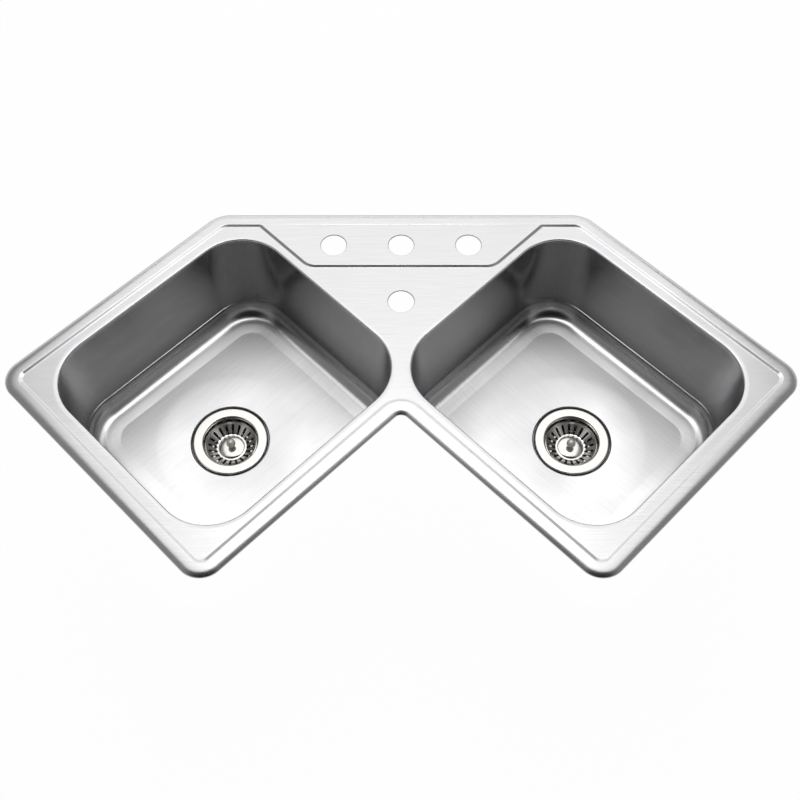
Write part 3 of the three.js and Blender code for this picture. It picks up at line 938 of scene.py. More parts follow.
@dataclass
class Deck:
    """The pressed sheet: rim, step, ledge, tap holes and the rolled edges of the openings."""

    finishes: Finishes
    ledge_depth: float = 76.0
    ledge_margin: float = 14.0
    ledge_radius: float = 22.0
    ledge_end_radius: float = 6.5
    hole_radius: float = 19.05
    hole_spacing: float = 101.6
    hole_line: float = 60.0
    hole_round: float = 1.5
    crown_width: float = 17.0
    lip_height: float = 1.2
    groove_width: float = 2.4
    groove_corner: float = 1.08
    roll_lead: float = 4.0
    roll_sag: float = 0.35

    def build(self) -> None:
        """Models the deck and dresses it."""
        rim = Workpiece.outline("deck_sheet", PLAN.outline())
        rim.press(self.rim_line(), 0.0)
        rim.open_up()
        row = PLAN.back_edge - self.hole_line
        pieces = [self.step(), *[self.opening(side) for side in Side], self.groove()]
        pieces += [self.hole(x, row, PLAN.rim_height) for x in (-self.hole_spacing, 0.0, self.hole_spacing)]
        rim.join(*pieces, self.hole(0.0, row - self.hole_spacing, PLAN.deck_height))
        rim.edit()
        rim.fill_level(PLAN.rim_height)
        rim.fill_level(PLAN.deck_height)
        rim.tidy()
        rim.face_up(PLAN.deck_height)
        rim.thicken(PLAN.sheet)
        rim.finish(self.finishes.deck, "deck")

    def rim_line(self) -> Line:
        """Section of the rim from its edge inwards: an upright lip and a crown that flattens slowly."""
        return [
            (0.05, 0.8), (0.3, self.lip_height), (0.8, 1.65), (1.6, 2.14), (2.8, 2.7), (4.4, 3.3),
            (6.0, 3.78), (7.6, 4.1), (10.0, 4.34), (13.0, 4.46), (self.crown_width, PLAN.rim_height),
        ]

    def recess_corners(self) -> list[Corner]:
        """The edge of the lowered deck: inside the rim and round the ledge."""
        rim = PLAN.outline(-PLAN.rim_width)
        back = rim[0].y
        front = back - self.ledge_depth

        def side(y: float) -> float:
            """Half the ledge's length at a Y."""
            return 2 * DIAGONAL * (PLAN.bowl_start - self.ledge_margin) + y - PLAN.back_corner

        ledge = [
            Corner(side(back), back, self.ledge_end_radius),
            Corner(side(front), front, self.ledge_radius),
            Corner(-side(front), front, self.ledge_radius),
            Corner(-side(back), back, self.ledge_end_radius),
        ]
        return [rim[0], *ledge, *rim[1:]]

    def step(self) -> Workpiece:
        """The sloping step from the rim and the ledge down to the deck."""
        step = Workpiece.outline("step", self.recess_corners(), PLAN.rim_height)
        line = [(0.35, 4.47), (0.8, 4.3), (2.4, 3.55), (4.2, 2.71), (4.8, 2.54), (5.4, PLAN.deck_height)]
        step.press(line, PLAN.rim_height)
        step.open_up()
        return step

    def opening(self, side: Side) -> Workpiece:
        """The rolled edge and the collar of an opening."""
        level, lead, roll = PLAN.deck_height, self.roll_lead, PLAN.roll_radius
        reach = lead + roll - PLAN.roll_inset
        size = (PLAN.bowl_length + 2 * reach, PLAN.bowl_width + 2 * reach)
        edge = Workpiece.outline("opening", block(*size, PLAN.bowl_radius + reach), level, 32)
        line = [(lead * t, level - self.roll_sag * t * t) for t in (0.35, 0.7, 1.0)]
        start = line[-1][1]
        drop = (start - level + roll) / roll
        line += [(lead + x, start - z * drop) for x, z in quarter(roll, 9)]
        edge.press(line, level)
        edge.extrude((0, 0, PLAN.collar_end - level + roll))
        edge.open_up()
        edge.place(*PLAN.bowl_centre(side), turn=side.turn)
        return edge

    def hole(self, x: float, y: float, z: float) -> Workpiece:
        """A pierced hole with a softened edge."""
        hole = circle("hole", 64, self.hole_radius + self.hole_round, (x, y, z))
        hole.press([(across, z - down) for across, down in quarter(self.hole_round, 4)], z)
        hole.open_up()
        return hole

    def groove(self) -> Workpiece:
        """The shallow pressed line between the back rim and the ledge."""
        end = self.recess_corners()[1]
        width = self.groove_width
        groove = Workpiece.outline(
            "groove", block(2 * end.x - 2 * width, width, self.groove_corner), 0.0, 6
        )
        groove.press([(0.5, -0.25), (0.9, -0.4)], 0.0)
        groove.place(0.0, end.y - width / 2, PLAN.rim_height)
        return groove


# ------------------------------------------------------------------ bowls


@dataclass
class Bowl:
    """A drawn bowl, from under its collar to the hole for the strainer."""

    finishes: Finishes
    side: Side
    top: float = -5.45
    depth: float = -172.5
    draft: float = 10.0
    bottom_radius: float = 26.0
    fillet_steps: int = 14
    crease: float = 0.7
    crease_heights: tuple[float, float] = (-6.5, -0.1)
    band: float = 18.0
    band_drop: float = 2.0
    dish_drop: float = 3.0
    dish_radius: float = 115.0
    recess_radius: float = 59.2
    recess_run: float = 2.0
    hole_radius: float = 44.5
    smooth_angle: float = 40.0

    def build(self) -> None:
        """Models the bowl and dresses it."""
        inset = PLAN.roll_inset
        size = (PLAN.bowl_length - 2 * inset, PLAN.bowl_width - 2 * inset)
        name = f"{self.side.prefix}_bowl"
        bowl = Workpiece.outline(f"{name}_shell", block(*size, PLAN.bowl_radius - inset), self.top, 24)
        bowl.press(self.wall_line(), self.top)
        bowl.open_up()
        self.flatten_crease(bowl)
        bowl.join(self.dish())
        bowl.edit()
        bowl.fill_level(self.band_bottom)
        bowl.tidy()
        bowl.face_up(PLAN.recess_floor)
        bowl.place(*PLAN.bowl_centre(self.side), turn=self.side.turn)
        bowl.thicken(PLAN.sheet)
        bowl.finish(self.finishes.bowl[self.side], name, angle=self.smooth_angle)

    @property
    def foot(self) -> float:
        """Height of the wall's foot, where the fillet starts."""
        return self.depth + self.bottom_radius

    @property
    def band_bottom(self) -> float:
        """Height of the inner edge of the sloping band round the floor."""
        return self.depth - self.band_drop

    @property
    def dish_bottom(self) -> float:
        """Height of the edge of the drain's recess."""
        return self.band_bottom - self.dish_drop

    @property
    def dish_run(self) -> float:
        """From the cone's outer edge to the recess's."""
        return self.dish_radius - self.recess_radius - self.recess_run

    @property
    def wall_draft(self) -> float:
        """How far the wall leans inwards on its way down."""
        return self.draft - PLAN.roll_inset

    def wall_line(self) -> Line:
        """Section of the wall, the crease and fillet at its foot, and the band round the floor."""
        draft, radius = self.wall_draft, self.bottom_radius
        line = [(draft * t, self.top + (self.foot - self.top) * t) for t in (0.25, 0.5, 0.75, 1.0)]
        ridge = draft + self.crease
        line.append((ridge, self.foot - 0.25))
        for i in range(1, self.fillet_steps + 1):
            angle = math.pi / 2 * i / self.fillet_steps
            inset = draft + radius * (1 - math.cos(angle))
            line.append((max(inset, ridge), self.foot - radius * math.sin(angle)))
        flat = draft + radius
        for share in (0.15, 0.4, 0.7, 0.9):
            line.append((flat + self.band * share, self.depth - self.band_drop * share**1.3))
        return [*line, (flat + self.band, self.band_bottom)]

    def flatten_crease(self, bowl: Workpiece) -> None:
        """Moves the ridge at the wall's foot back into the wall, except along the leg's back edge."""
        low, high = ((self.foot + height) * MM for height in self.crease_heights)
        half = (PLAN.bowl_length / 2 - self.draft, PLAN.bowl_width / 2 - self.draft)
        grow = [1 + self.crease / (size - self.crease) for size in half]
        bowl.select(Part.VERT, lambda v: low < v.co.z < high)
        bpy.ops.transform.resize(value=(grow[0], 1, 1), center_override=(0, 0, 0))
        bowl.select(Part.VERT, lambda v: low < v.co.z < high and v.co.y * self.side.front > 0)
        bpy.ops.transform.resize(value=(1, grow[1], 1), center_override=(0, 0, 0))

    def dish(self) -> Workpiece:
        """The shallow cone round the drain, with the recess that the strainer seats in."""
        dish = circle("dish", 128, self.dish_radius, (PLAN.drain_offset, 0.0, self.band_bottom))
        edge, bottom = self.dish_run, self.dish_bottom
        drop = bottom - PLAN.recess_floor
        cone = (0.08, 0.16, 0.28, 0.42, 0.6, 0.8, 0.97)
        line = [(edge * t, self.band_bottom - self.dish_drop * t**1.4) for t in cone]
        wall = ((0.1, 0.03), (0.5, 0.2), (1.0, 0.5), (1.5, 0.8))
        line += [(edge + inwards, bottom - share * drop) for inwards, share in wall]
        line += [
            (edge + self.recess_run, PLAN.recess_floor),
            (self.dish_radius - self.hole_radius, PLAN.recess_floor),
        ]
        dish.press(line, self.band_bottom)
        dish.open_up()
        return dish


# ------------------------------------------------------------------ strainers


@dataclass
class Fitting:
    """What the pieces on a drain share.

    Heights are from the recess's floor, as in the CAD.
    """

    finishes: Finishes
    side: Side
    outlet_radius: float = 18.0
    neck_radius: float = 21.5

    def named(self, piece: str) -> str:
        """A name with the leg's prefix."""
        return f"{self.side.prefix}_{piece}"

    def set_down(self, piece: Workpiece, look: Look, node: str, moves: bool = False) -> None:
        """Moves a piece to the drain and dresses it.

        Args:
            piece: The piece.
            look: Its finish.
            node: The CAD node that it stands for, without the prefix.
            moves: Whether it moves with the basket.
        """
        piece.place(*PLAN.drain(self.side), PLAN.recess_floor)
        piece.finish(look, self.named(node), self.named("basket_unit") if moves else "sink")


@dataclass
class Strainer(Fitting):
    """The strainer body of a bowl, with its lift-out basket."""

    flange_radius: float = 57.15
    flange_under: float = 1.8
    flange_top: float = 3.4
    mouth_radius: float = 42.0
    wall: float = 1.4
    shoulder_radius: float = 38.0
    seat_radius: float = 33.0
    seat_depth: float = 24.0
    neck_end: float = -60.0
    neck_thread: float = 13.0
    thread_end: float = -17.0
    groove: tuple[float, float] = (1.8, 0.7)
    bar_top: float = -38.0
    bar_size: float = 3.0
    hub_bore: float = 2.6
    hub_radius: float = 5.5
    basket_floor: float = -18.6
    basket_sheet: float = 0.8
    slot_count: int = 20
    slot_reach: tuple[float, float] = (22.4, 35.8)
    slot_half_width: tuple[float, float] = (1.7, 2.1)
    slot_corner: tuple[float, float] = (1.4, 1.2)
    slot_heights: tuple[float, float] = (-25.0, -7.0)
    ball_radius: float = 7.0
    ball_height: float = -5.6
    ball_arcs: int = 16
    stem_radius: float = 3.0
    stem_end: float = -45.0

    def build(self) -> None:
        """Models the strainer's body and its basket, and dresses them."""
        steel = self.finishes.strainer[self.side]
        self.set_down(self.gasket(), self.finishes.rubber, "flange_gasket")
        self.set_down(self.body(), steel, "strainer_body")
        self.set_down(self.basket(), steel, "basket", moves=True)
        self.set_down(self.knob(), self.finishes.knob, "basket_knob", moves=True)

    def gasket(self) -> Workpiece:
        """The rubber ring under the flange; its outer lip fills the gap round the flange."""
        section = [
            (46.0, 0.3), (58.4, 0.3), (58.8, 0.6), (58.8, 1.9),
            (58.3, 2.3), (57.6, 2.2), (57.4, 1.5), (46.0, 1.5),
        ]
        return Workpiece.turned(self.named("flange_ring"), section, 128)

    def body(self) -> Workpiece:
        """The flanged cup, with threads outside and cross bars in its outlet."""
        piece = Workpiece.turned(self.named("strainer_cup"), self.cup_outside() + self.cup_inside())
        reach = self.outlet_radius + (self.neck_radius - self.outlet_radius) / 2
        top, low = self.bar_top, self.bar_top - self.bar_size
        section = oblong(self.bar_size, low, top)
        bars = [Workpiece.bar("bar", section, 2 * reach) for _ in range(2)]
        bars[1].place(turn=math.pi / 2)
        for bar in bars:
            bar.soften(0.5)
        bore, rim = self.hub_bore, self.hub_radius
        section = [
            (bore, low - 0.2), (rim - 0.5, low - 0.2), (rim, low + 0.3),
            (rim, top - 0.3), (rim - 0.5, top + 0.2), (bore, top + 0.2),
        ]
        piece.join(*bars, Workpiece.turned("hub", section, 32))
        return piece

    def cup_outside(self) -> list[tuple[float, float]]:
        """Section of the neck, the seat and the cup from below, with their threads."""
        cup, neck, seat = self.mouth_radius + self.wall, self.neck_radius, self.seat_radius + self.wall
        end, depth = self.neck_end, -self.seat_depth
        return [
            (self.outlet_radius, end),
            (neck - 0.6, end),
            *thread(neck, end + 0.6, end + self.neck_thread, *self.groove),
            (neck, depth - 2.6), (neck + 1, depth - 2.2), (seat - 1, depth - 2.2), (seat, depth - 1.4),
            (cup - 0.4, self.thread_end),
            *thread(cup, self.thread_end + 0.6, -1.2, *self.groove),
        ]

    def cup_inside(self) -> list[tuple[float, float]]:
        """Section of the flange and of the cup's inside, down to the outlet."""
        rim, under, top = self.flange_radius, self.flange_under, self.flange_top
        mouth, shoulder, seat = self.mouth_radius, self.shoulder_radius, self.seat_radius
        depth = -self.seat_depth
        return [
            (mouth + self.wall, under), (rim - 0.3, under), (rim, under + 0.3),
            (rim - 0.35, top - 0.8), (rim - 1.1, top - 0.2), (rim - 2.0, top),
            (mouth + 2.2, top), (mouth + 1.0, top - 0.25), (mouth + 0.25, top - 0.9), (mouth, top - 2.0),
            (mouth, -8.6), (mouth - 0.4, -9.4), (shoulder + 0.4, -11.0), (shoulder, -12.0),
            (seat + 0.6, depth + 0.9), (seat - 0.6, depth),
            (self.outlet_radius + 2.0, depth), (self.outlet_radius, depth - 4.0),
        ]

    def basket(self) -> Workpiece:
        """The slotted basket, spun from thin sheet, with its rolled rim and raised middle."""
        floor = self.basket_floor
        section = [
            (40.2, -7.7), (40.2, -6.7), (39.7, -6.1), (38.8, -5.9), (38.1, -6.2), (37.5, -7.0),
            (36.4, -8.2), (25.4, -17.3), (24.0, -18.2), (22.6, floor), (20.6, floor),
            (19.7, floor + 0.35), (18.7, floor + 0.9), (16.5, floor + 1.5),
            (13.0, floor + 2.1), (9.0, floor + 2.5), (3.3, floor + 2.7),
        ]
        basket = Workpiece.turned(self.named("basket_shell"), section, 120, closed=False)
        basket.face_up(floor)
        basket.thicken(self.basket_sheet)
        basket.cut(self.slots())
        return basket

    def slots(self) -> Workpiece:
        """The tool that cuts the basket's slots, which widen outwards."""
        (inner, outer), (narrow, wide) = self.slot_reach, self.slot_half_width
        (near, far), (low, high) = self.slot_corner, self.slot_heights
        corners = [
            Corner(outer, -wide, far),
            Corner(outer, wide, far),
            Corner(inner, narrow, near),
            Corner(inner, -narrow, near),
        ]
        tool = Workpiece.outline("slots", corners, low, 4).drawn((0, 0, high - low))
        tool.ring_of(self.slot_count)
        return tool

    def knob(self) -> Workpiece:
        """The ball knob and its stem in one, down to the tip that snaps into the hub."""
        ball, stem, end = self.ball_radius, self.stem_radius, self.stem_end
        angles = [math.pi * i / self.ball_arcs for i in range(self.ball_arcs - 2)]
        line = [(ball * math.sin(a), self.ball_height + ball * math.cos(a)) for a in angles]
        line += [
            (stem, -12.4), (stem, -37.0), (stem - 0.6, -37.4), (stem - 0.7, end + 1.4),
            (stem - 1.4, end + 0.1), (0.0, end),
        ]
        return Workpiece.turned(self.named("knob_stem"), line, 48, closed=False)


# ------------------------------------------------------------------ what holds the strainers


@dataclass
class Outlet(Fitting):
    """The washers, nuts and tube below a strainer, and the stopper and nut below its basket."""

    cup_bore: float = 43.7
    stem_bore: float = 3.3
    washer: tuple[float, float] = (-4.3, -1.3)
    washer_radius: float = 57.0
    friction: tuple[float, float] = (-5.8, -4.6)
    friction_radius: float = 56.0
    locknut: tuple[float, float] = (-15.1, -6.1)
    locknut_wall: float = 46.7
    locknut_radius: float = 52.0
    locknut_flange: float = 3.0
    lug_count: int = 4
    lug_width: float = 12.0
    lug_reach: float = 5.0
    stopper: tuple[float, float] = (-23.7, -20.2)
    stopper_radius: float = 28.5
    basket_nut: tuple[float, float] = (-28.0, -24.0)
    basket_nut_flats: float = 11.0
    tail_washer: tuple[float, float] = (-62.3, -60.3)
    tail: tuple[float, float] = (-164.2, -62.6)
    tail_radius: float = 19.05
    tail_wall: float = 1.2
    tail_flange: float = 1.5
    coupling: tuple[float, float] = (-67.4, -50.0)
    coupling_flats: float = 54.0
    coupling_lip: float = 3.0
    chamfer_reach: float = 34.0
    chamfer_fall: float = 3.2

    def build(self) -> None:
        """Models the pieces and dresses them."""
        looks, bore = self.finishes, self.cup_bore
        neck, tube = self.neck_radius - PLAN.gap, self.outlet_radius
        washer = self.ring("rubber_washer", bore, self.washer_radius, self.washer, 0.5)
        self.set_down(washer, looks.rubber, "drain_washer")
        friction = self.ring("fibre_ring", bore, self.friction_radius, self.friction, 0.15)
        self.set_down(friction, looks.fibre, "friction_ring")
        self.set_down(self.lock(), looks.brass, "locknut")
        self.set_down(self.ring("tail_seal", tube, neck, self.tail_washer, 0.3), looks.plastic, "tail_washer")
        self.set_down(self.tailpiece(), looks.chrome, "tailpiece")
        self.set_down(self.coupling_nut(), looks.brass, "coupling_nut")
        self.set_down(self.plug(), looks.rubber, "basket_stopper", moves=True)
        self.set_down(self.stem_nut(), looks.brass, "basket_nut", moves=True)

    def ring(
        self, name: str, inner: float, outer: float, heights: tuple[float, float], edge: float
    ) -> Workpiece:
        """A flat ring with chamfered edges."""
        low, high = heights
        section = [
            (inner, low + edge), (inner + edge, low), (outer - edge, low), (outer, low + edge),
            (outer, high - edge), (outer - edge, high), (inner + edge, high), (inner, high - edge),
        ]
        return Workpiece.turned(self.named(name), section)

    def lock(self) -> Workpiece:
        """The large nut, with a flange that presses up and four lugs to turn it by."""
        low, high = self.locknut
        bore, wall, rim, flange = self.cup_bore, self.locknut_wall, self.locknut_radius, self.locknut_flange
        under = high - flange
        section = [
            (bore, low + 0.6), (bore + 0.6, low), (wall - 0.6, low), (wall, low + 0.6),
            (wall, under - 1.0), (wall + 0.35, under - 0.3), (wall + 1.1, under),
            (rim - 0.6, under), (rim, under + 0.6), (rim, high - 0.5), (rim - 0.5, high), (bore, high),
        ]
        nut = Workpiece.turned(self.named("large_nut"), section)
        section = oblong(self.lug_width, low, under + flange / 2)
        lug = Workpiece.bar("lug", section, self.lug_reach + flange / 2)
        lug.soften(1.2, segments=3)
        lug.place(wall + self.lug_reach / 2 - flange / 4)
        lug.ring_of(self.lug_count)
        lug.place(turn=math.pi / 4)
        nut.join(lug)
        return nut

    def tailpiece(self) -> Workpiece:
        """The drain tube, flared into a flange at its top."""
        low, high = self.tail
        inner, outer, rim = self.tail_radius - self.tail_wall, self.tail_radius, self.neck_radius - PLAN.gap
        under = high - self.tail_flange
        section = [
            (inner, low + 0.3), (inner + 0.3, low), (outer - 0.3, low), (outer, low + 0.3),
            (outer, under - 1.2), (outer + 0.3, under - 0.4), (outer + 1.0, under),
            (rim - 0.3, under), (rim, under + 0.3), (rim, high - 0.3), (rim - 0.3, high), (inner, high),
        ]
        return Workpiece.turned(self.named("drain_tube"), section)

    def coupling_nut(self) -> Workpiece:
        """The hexagonal nut that draws the tube's flange up against the neck."""
        low, high = self.coupling
        nut = Workpiece.hexagon(self.named("hexagonal_nut"), self.coupling_flats, low, high)
        nut.soften(0.6, segments=3)
        start, far, fall = self.coupling_flats / 2 + 1.0, self.chamfer_reach, self.chamfer_fall
        for end, way in ((high, 1), (low, -1)):
            chamfer = [(start, end), (far, end - way * fall), (far, end + way), (start, end + way)]
            nut.cut(Workpiece.turned("chamfer", chamfer))
        shelf = low + self.coupling_lip
        neck, tube = self.neck_radius + PLAN.gap, self.tail_radius + PLAN.gap
        bore = [
            (0.0, high + 1), (neck + 1.0, high + 1), (neck + 1.0, high - 0.4), (neck, high - 1.4),
            (neck, shelf), (tube, shelf), (tube, low - 1), (0.0, low - 1),
        ]
        nut.cut(Workpiece.turned("bore", bore, closed=False))
        nut.edit()
        nut.tidy()
        return nut

    def plug(self) -> Workpiece:
        """The rubber disc that closes the cup when the basket is pushed down."""
        low, high = self.stopper
        bore, rim = self.stem_bore, self.stopper_radius
        section = [
            (bore, low), (rim - 2.2, low), (rim - 0.6, low + 0.9), (rim, low + 1.8),
            (rim - 0.2, low + 2.5), (rim - 1.4, high), (bore, high),
        ]
        return Workpiece.turned(self.named("rubber_plug"), section)

    def stem_nut(self) -> Workpiece:
        """The small nut that holds the stopper on the stem."""
        low, high = self.basket_nut
        nut = Workpiece.hexagon(self.named("stem_nut"), self.basket_nut_flats, low, high)
        nut.cut(Workpiece.drill(self.stem_bore, low - 1, high + 1))
        nut.soften(0.3)
        return nut


# ------------------------------------------------------------------ pads and seal


@dataclass
class Pads:
    """The sound-deadening pads stuck on a bowl: a ring under its floor and a plate on two walls."""

    finishes: Finishes
    bowl: Bowl
    thickness: float = 2.5
    inner: float = 68.0
    outer: float = 110.0
    chamfer: float = 0.5
    length: float = 190.0
    height: float = 90.0
    corner: float = 6.0

    def build(self) -> None:
        """Models the pads and dresses them."""
        self.finish(self.floor_pad(), "floor_pad")
        self.finish(self.wall_pad("end_plate", PLAN.bowl_length / 2, 0.0), "end_pad")
        turn = self.bowl.side.front * math.pi / 2
        self.finish(self.wall_pad("front_plate", PLAN.bowl_width / 2, turn), "front_pad")

    def finish(self, pad: Workpiece, node: str) -> None:
        """Dresses a pad."""
        side = self.bowl.side
        pad.finish(self.finishes.damping[side, node], f"{side.prefix}_{node}")

    def underside(self, radius: float) -> float:
        """Height of the floor's underside at a distance from the drain."""
        share = (self.bowl.dish_radius - radius) / self.bowl.dish_run
        return self.bowl.band_bottom - self.bowl.dish_drop * share - PLAN.sheet - PLAN.gap

    def floor_pad(self) -> Workpiece:
        """The ring round the drain."""
        inner, outer, edge = self.inner, self.outer, self.chamfer
        near, far = self.underside(inner), self.underside(outer)
        low, deep = near - self.thickness, far - self.thickness
        section = [
            (inner, low + edge), (inner + edge, low), (outer - edge, deep), (outer, deep + edge),
            (outer, far), (inner, near),
        ]
        pad = Workpiece.turned(f"{self.bowl.side.prefix}_floor_ring", section)
        pad.place(*PLAN.drain(self.bowl.side))
        return pad

    def wall_pad(self, name: str, reach: float, turn: float) -> Workpiece:
        """A plate on the outside of a wall.

        Args:
            name: What the plate is called.
            reach: From the bowl's centre to the opening's edge.
            turn: Turn about Z from the leg's end to the wall.

        Returns:
            The plate in its place.
        """
        bowl = self.bowl
        corners = block(self.height, self.length, self.corner)
        pad = Workpiece.outline(f"{bowl.side.prefix}_{name}", corners, 0.0, 6).drawn((0, 0, self.thickness))
        pad.soften(self.chamfer)
        upright = Matrix(((0, 0, 1, 0), (0, 1, 0, 0), (-1, 0, 0, 0), (0, 0, 0, 1)))
        fall, draft = bowl.top - bowl.foot, bowl.wall_draft
        out = reach - PLAN.roll_inset - draft / 2 + PLAN.sheet + PLAN.gap
        wall = Matrix.Translation(Vector((out, 0, bowl.top - fall / 2)) * MM)
        lean = Matrix.Rotation(math.atan2(draft, fall), 4, "Y")
        centre = Matrix.Translation(Vector((*PLAN.bowl_centre(bowl.side), 0)) * MM)
        leg = centre @ Matrix.Rotation(bowl.side.turn + turn, 4, "Z")
        pad.put(leg @ wall @ lean @ upright)
        return pad


@dataclass
class Seal:
    """The foam strip under the bevel, all the way round."""

    finishes: Finishes
    outer: float = 2.0

    def build(self) -> None:
        """Models the strip and dresses it."""
        seal = Workpiece.outline("foam_strip", PLAN.outline(-self.outer))
        line = [
            (0.05, 0.5), (0.3, 0.8), (1.0, 1.1), (4.9, 2.75),
            (5.5, 2.8), (5.85, 2.55), (5.95, 0.3), (6.0, 0.0),
        ]
        seal.press(line, 0.0)
        seal.open_up()
        seal.select(Part.EDGE, lambda e: e.is_boundary)
        bpy.ops.mesh.bridge_edge_loops()
        seal.tidy()
        seal.finish(self.finishes.foam, "rim_seal")


# ------------------------------------------------------------------ rails, clips and screws


@dataclass
class Clamping:
    """A channel rail under each edge, with a hooked clip that slides on it and a clamping screw.

    They are modelled about an edge's middle, with +X along the edge and +Y inwards.
    """

    finishes: Finishes
    rail_inset: float = 11.0
    rail_width: float = 8.5
    rail_top: float = 3.2
    rail_height: float = 11.0
    rail_wall: float = 1.2
    rail_lip: float = 2.8
    rail_margin: float = 60.0
    clip_width: float = 14.0
    clip_sheet: float = 1.5
    arm_top: float = -34.0
    arm_reach: float = 13.0
    arm_corner: float = 4.0
    boss_radius: float = 5.5
    boss_height: float = 4.0
    screw_outset: float = 4.0
    screw_radius: float = 2.5
    screw_groove: tuple[float, float] = (0.9, 0.45)
    screw_tip: float = -18.0
    screw_head: float = -62.0
    head_height: float = 3.5
    head_flats: float = 8.0
    slot: tuple[float, float] = (1.2, 1.4)
    back_offset: float = -50.8

    def build(self) -> None:
        """Models the seven sets and dresses them."""
        clip, screw = self.clip(), self.screw()
        for edge in PLAN.edges():
            self.set_up(self.rail(edge), edge, 0.0, f"rail_{edge.name}", "sink")
            offset = self.back_offset if edge.name == "back" else 0.0
            for model, kind, what in ((clip, "clip", "strap"), (screw, "screw", "shank")):
                node = f"{kind}_{edge.name}"
                self.set_up(model.copy(f"{node}_{what}"), edge, offset, node, f"{node}_unit")
        for model in (clip, screw):
            bpy.data.objects.remove(model.obj)

    def set_up(self, piece: Workpiece, edge: Edge, offset: float, node: str, body: str) -> None:
        """Moves a piece to its edge and dresses it."""
        x = edge.x + offset * math.cos(edge.turn)
        y = edge.y + offset * math.sin(edge.turn)
        piece.place(x, y, turn=edge.turn)
        piece.finish(self.finishes.zinc, node, body)

    def rail(self, edge: Edge) -> Workpiece:
        """A rolled C-section, open to the outside, with an upturned lip."""
        near, far, wall = self.rail_inset, self.rail_inset + self.rail_width, self.rail_wall
        top, low = self.rail_top, self.rail_top - self.rail_height
        lip = low + wall + self.rail_lip
        corners = [
            Corner(near, top, 0.3),
            Corner(near, top - wall, 0.3),
            Corner(far - wall, top - wall, 0.8),
            Corner(far - wall, low + wall, 0.8),
            Corner(near + wall, low + wall, 0.8),
            Corner(near + wall, lip, 0.3),
            Corner(near, lip, 0.3),
            Corner(near, low, 2.0),
            Corner(far, low, 2.0),
            Corner(far, top, 2.0),
        ]
        return Workpiece.run(f"rail_{edge.name}_channel", corners, edge.length - 2 * self.rail_margin)

    def clip(self) -> Workpiece:
        """A strap hooked over the rail's lip, with an arm that carries the threaded boss."""
        sheet, gap, reach, top = self.clip_sheet, PLAN.gap, -self.arm_reach, self.arm_top
        low = self.rail_top - self.rail_height + self.rail_wall
        lip = low + self.rail_lip + gap
        hook, strap = self.rail_inset + self.rail_wall + gap, self.rail_inset - gap
        arm = top - sheet
        corners = [
            Corner(reach, arm),
            Corner(strap, arm, 2.5),
            Corner(strap, lip, 0.4),
            Corner(hook, lip, 0.4),
            Corner(hook, low + gap, 0.3),
            Corner(hook + sheet, low + gap, 0.3),
            Corner(hook + sheet, lip + sheet, 1.8),
            Corner(strap - sheet, lip + sheet, 1.8),
            Corner(strap - sheet, top, 1.0),
            Corner(reach, top),
        ]
        clip = Workpiece.run("clip_model", corners, self.clip_width)
        clip.edit()
        end = (reach + 0.01) * MM

        def at_end(edge: bmesh.types.BMEdge) -> bool:
            """Whether an edge is one of the arm's two upright corners."""
            first, last = edge.verts
            return max(first.co.y, last.co.y) < end and abs(first.co.x - last.co.x) < MERGE

        clip.select(Part.EDGE, at_end)
        bpy.ops.mesh.bevel(offset=self.arm_corner * MM, segments=6)
        bore = self.screw_radius + gap
        drill = Workpiece.drill(bore, arm - 6.5, top + 4.0)
        drill.place(0.0, -self.screw_outset)
        clip.cut(drill)
        clip.soften(0.25)
        rim, low = self.boss_radius, arm - self.boss_height
        section = [
            (bore, low + 0.3), (bore + 0.3, low), (rim - 0.5, low), (rim, low + 0.5),
            (rim, arm - 0.4), (rim + 0.4, arm + 0.1), (bore, arm + 0.1),
        ]
        boss = Workpiece.turned("boss", section, 40)
        boss.place(0.0, -self.screw_outset)
        clip.join(boss)
        return clip

    def screw(self) -> Workpiece:
        """A threaded shank with a blunt point, and a slotted hexagonal head."""
        radius, top, tip = self.screw_radius, self.screw_head, self.screw_tip
        line = [
            (0.0, top - 0.5),
            (radius - 0.3, top - 0.5),
            *thread(radius, top + 0.8, tip - 3.0, *self.screw_groove),
            (radius / 2, tip),
            (0.0, tip),
        ]
        screw = Workpiece.turned("screw_model", line, 24, closed=False)
        bottom = top - self.head_height
        head = Workpiece.hexagon("head", self.head_flats, bottom, top)
        width, depth = self.slot
        head.cut(Workpiece.bar("slot", oblong(width, bottom - 1, bottom + depth), 2 * self.head_flats))
        head.soften(0.35)
        screw.join(head)
        screw.place(0.0, -self.screw_outset)
        return screw


# ------------------------------------------------------------------ studio


@dataclass(frozen=True)
class SoftBox:
    """A rectangular area lamp: where it hangs and its size, in metres, and its power in watts."""

    name: str
    place: Point
    size: tuple[float, float]
    power: float
    aim: Point = (0.0, -0.28, -0.05)

    def hang(self) -> None:
        """Makes the lamp, looking at the middle of the sink."""
        data = bpy.data.lights.new(self.name, "AREA")
        data.shape = "RECTANGLE"
        data.size, data.size_y = self.size
        data.energy = self.power
        lamp = bpy.data.objects.new(self.name, data)
        lamp.location = self.place
        lamp.rotation_euler = (Vector(self.aim) - Vector(self.place)).to_track_quat("-Z", "Y").to_euler()
        lamp.visible_camera = False
        bpy.context.scene.collection.objects.link(lamp)


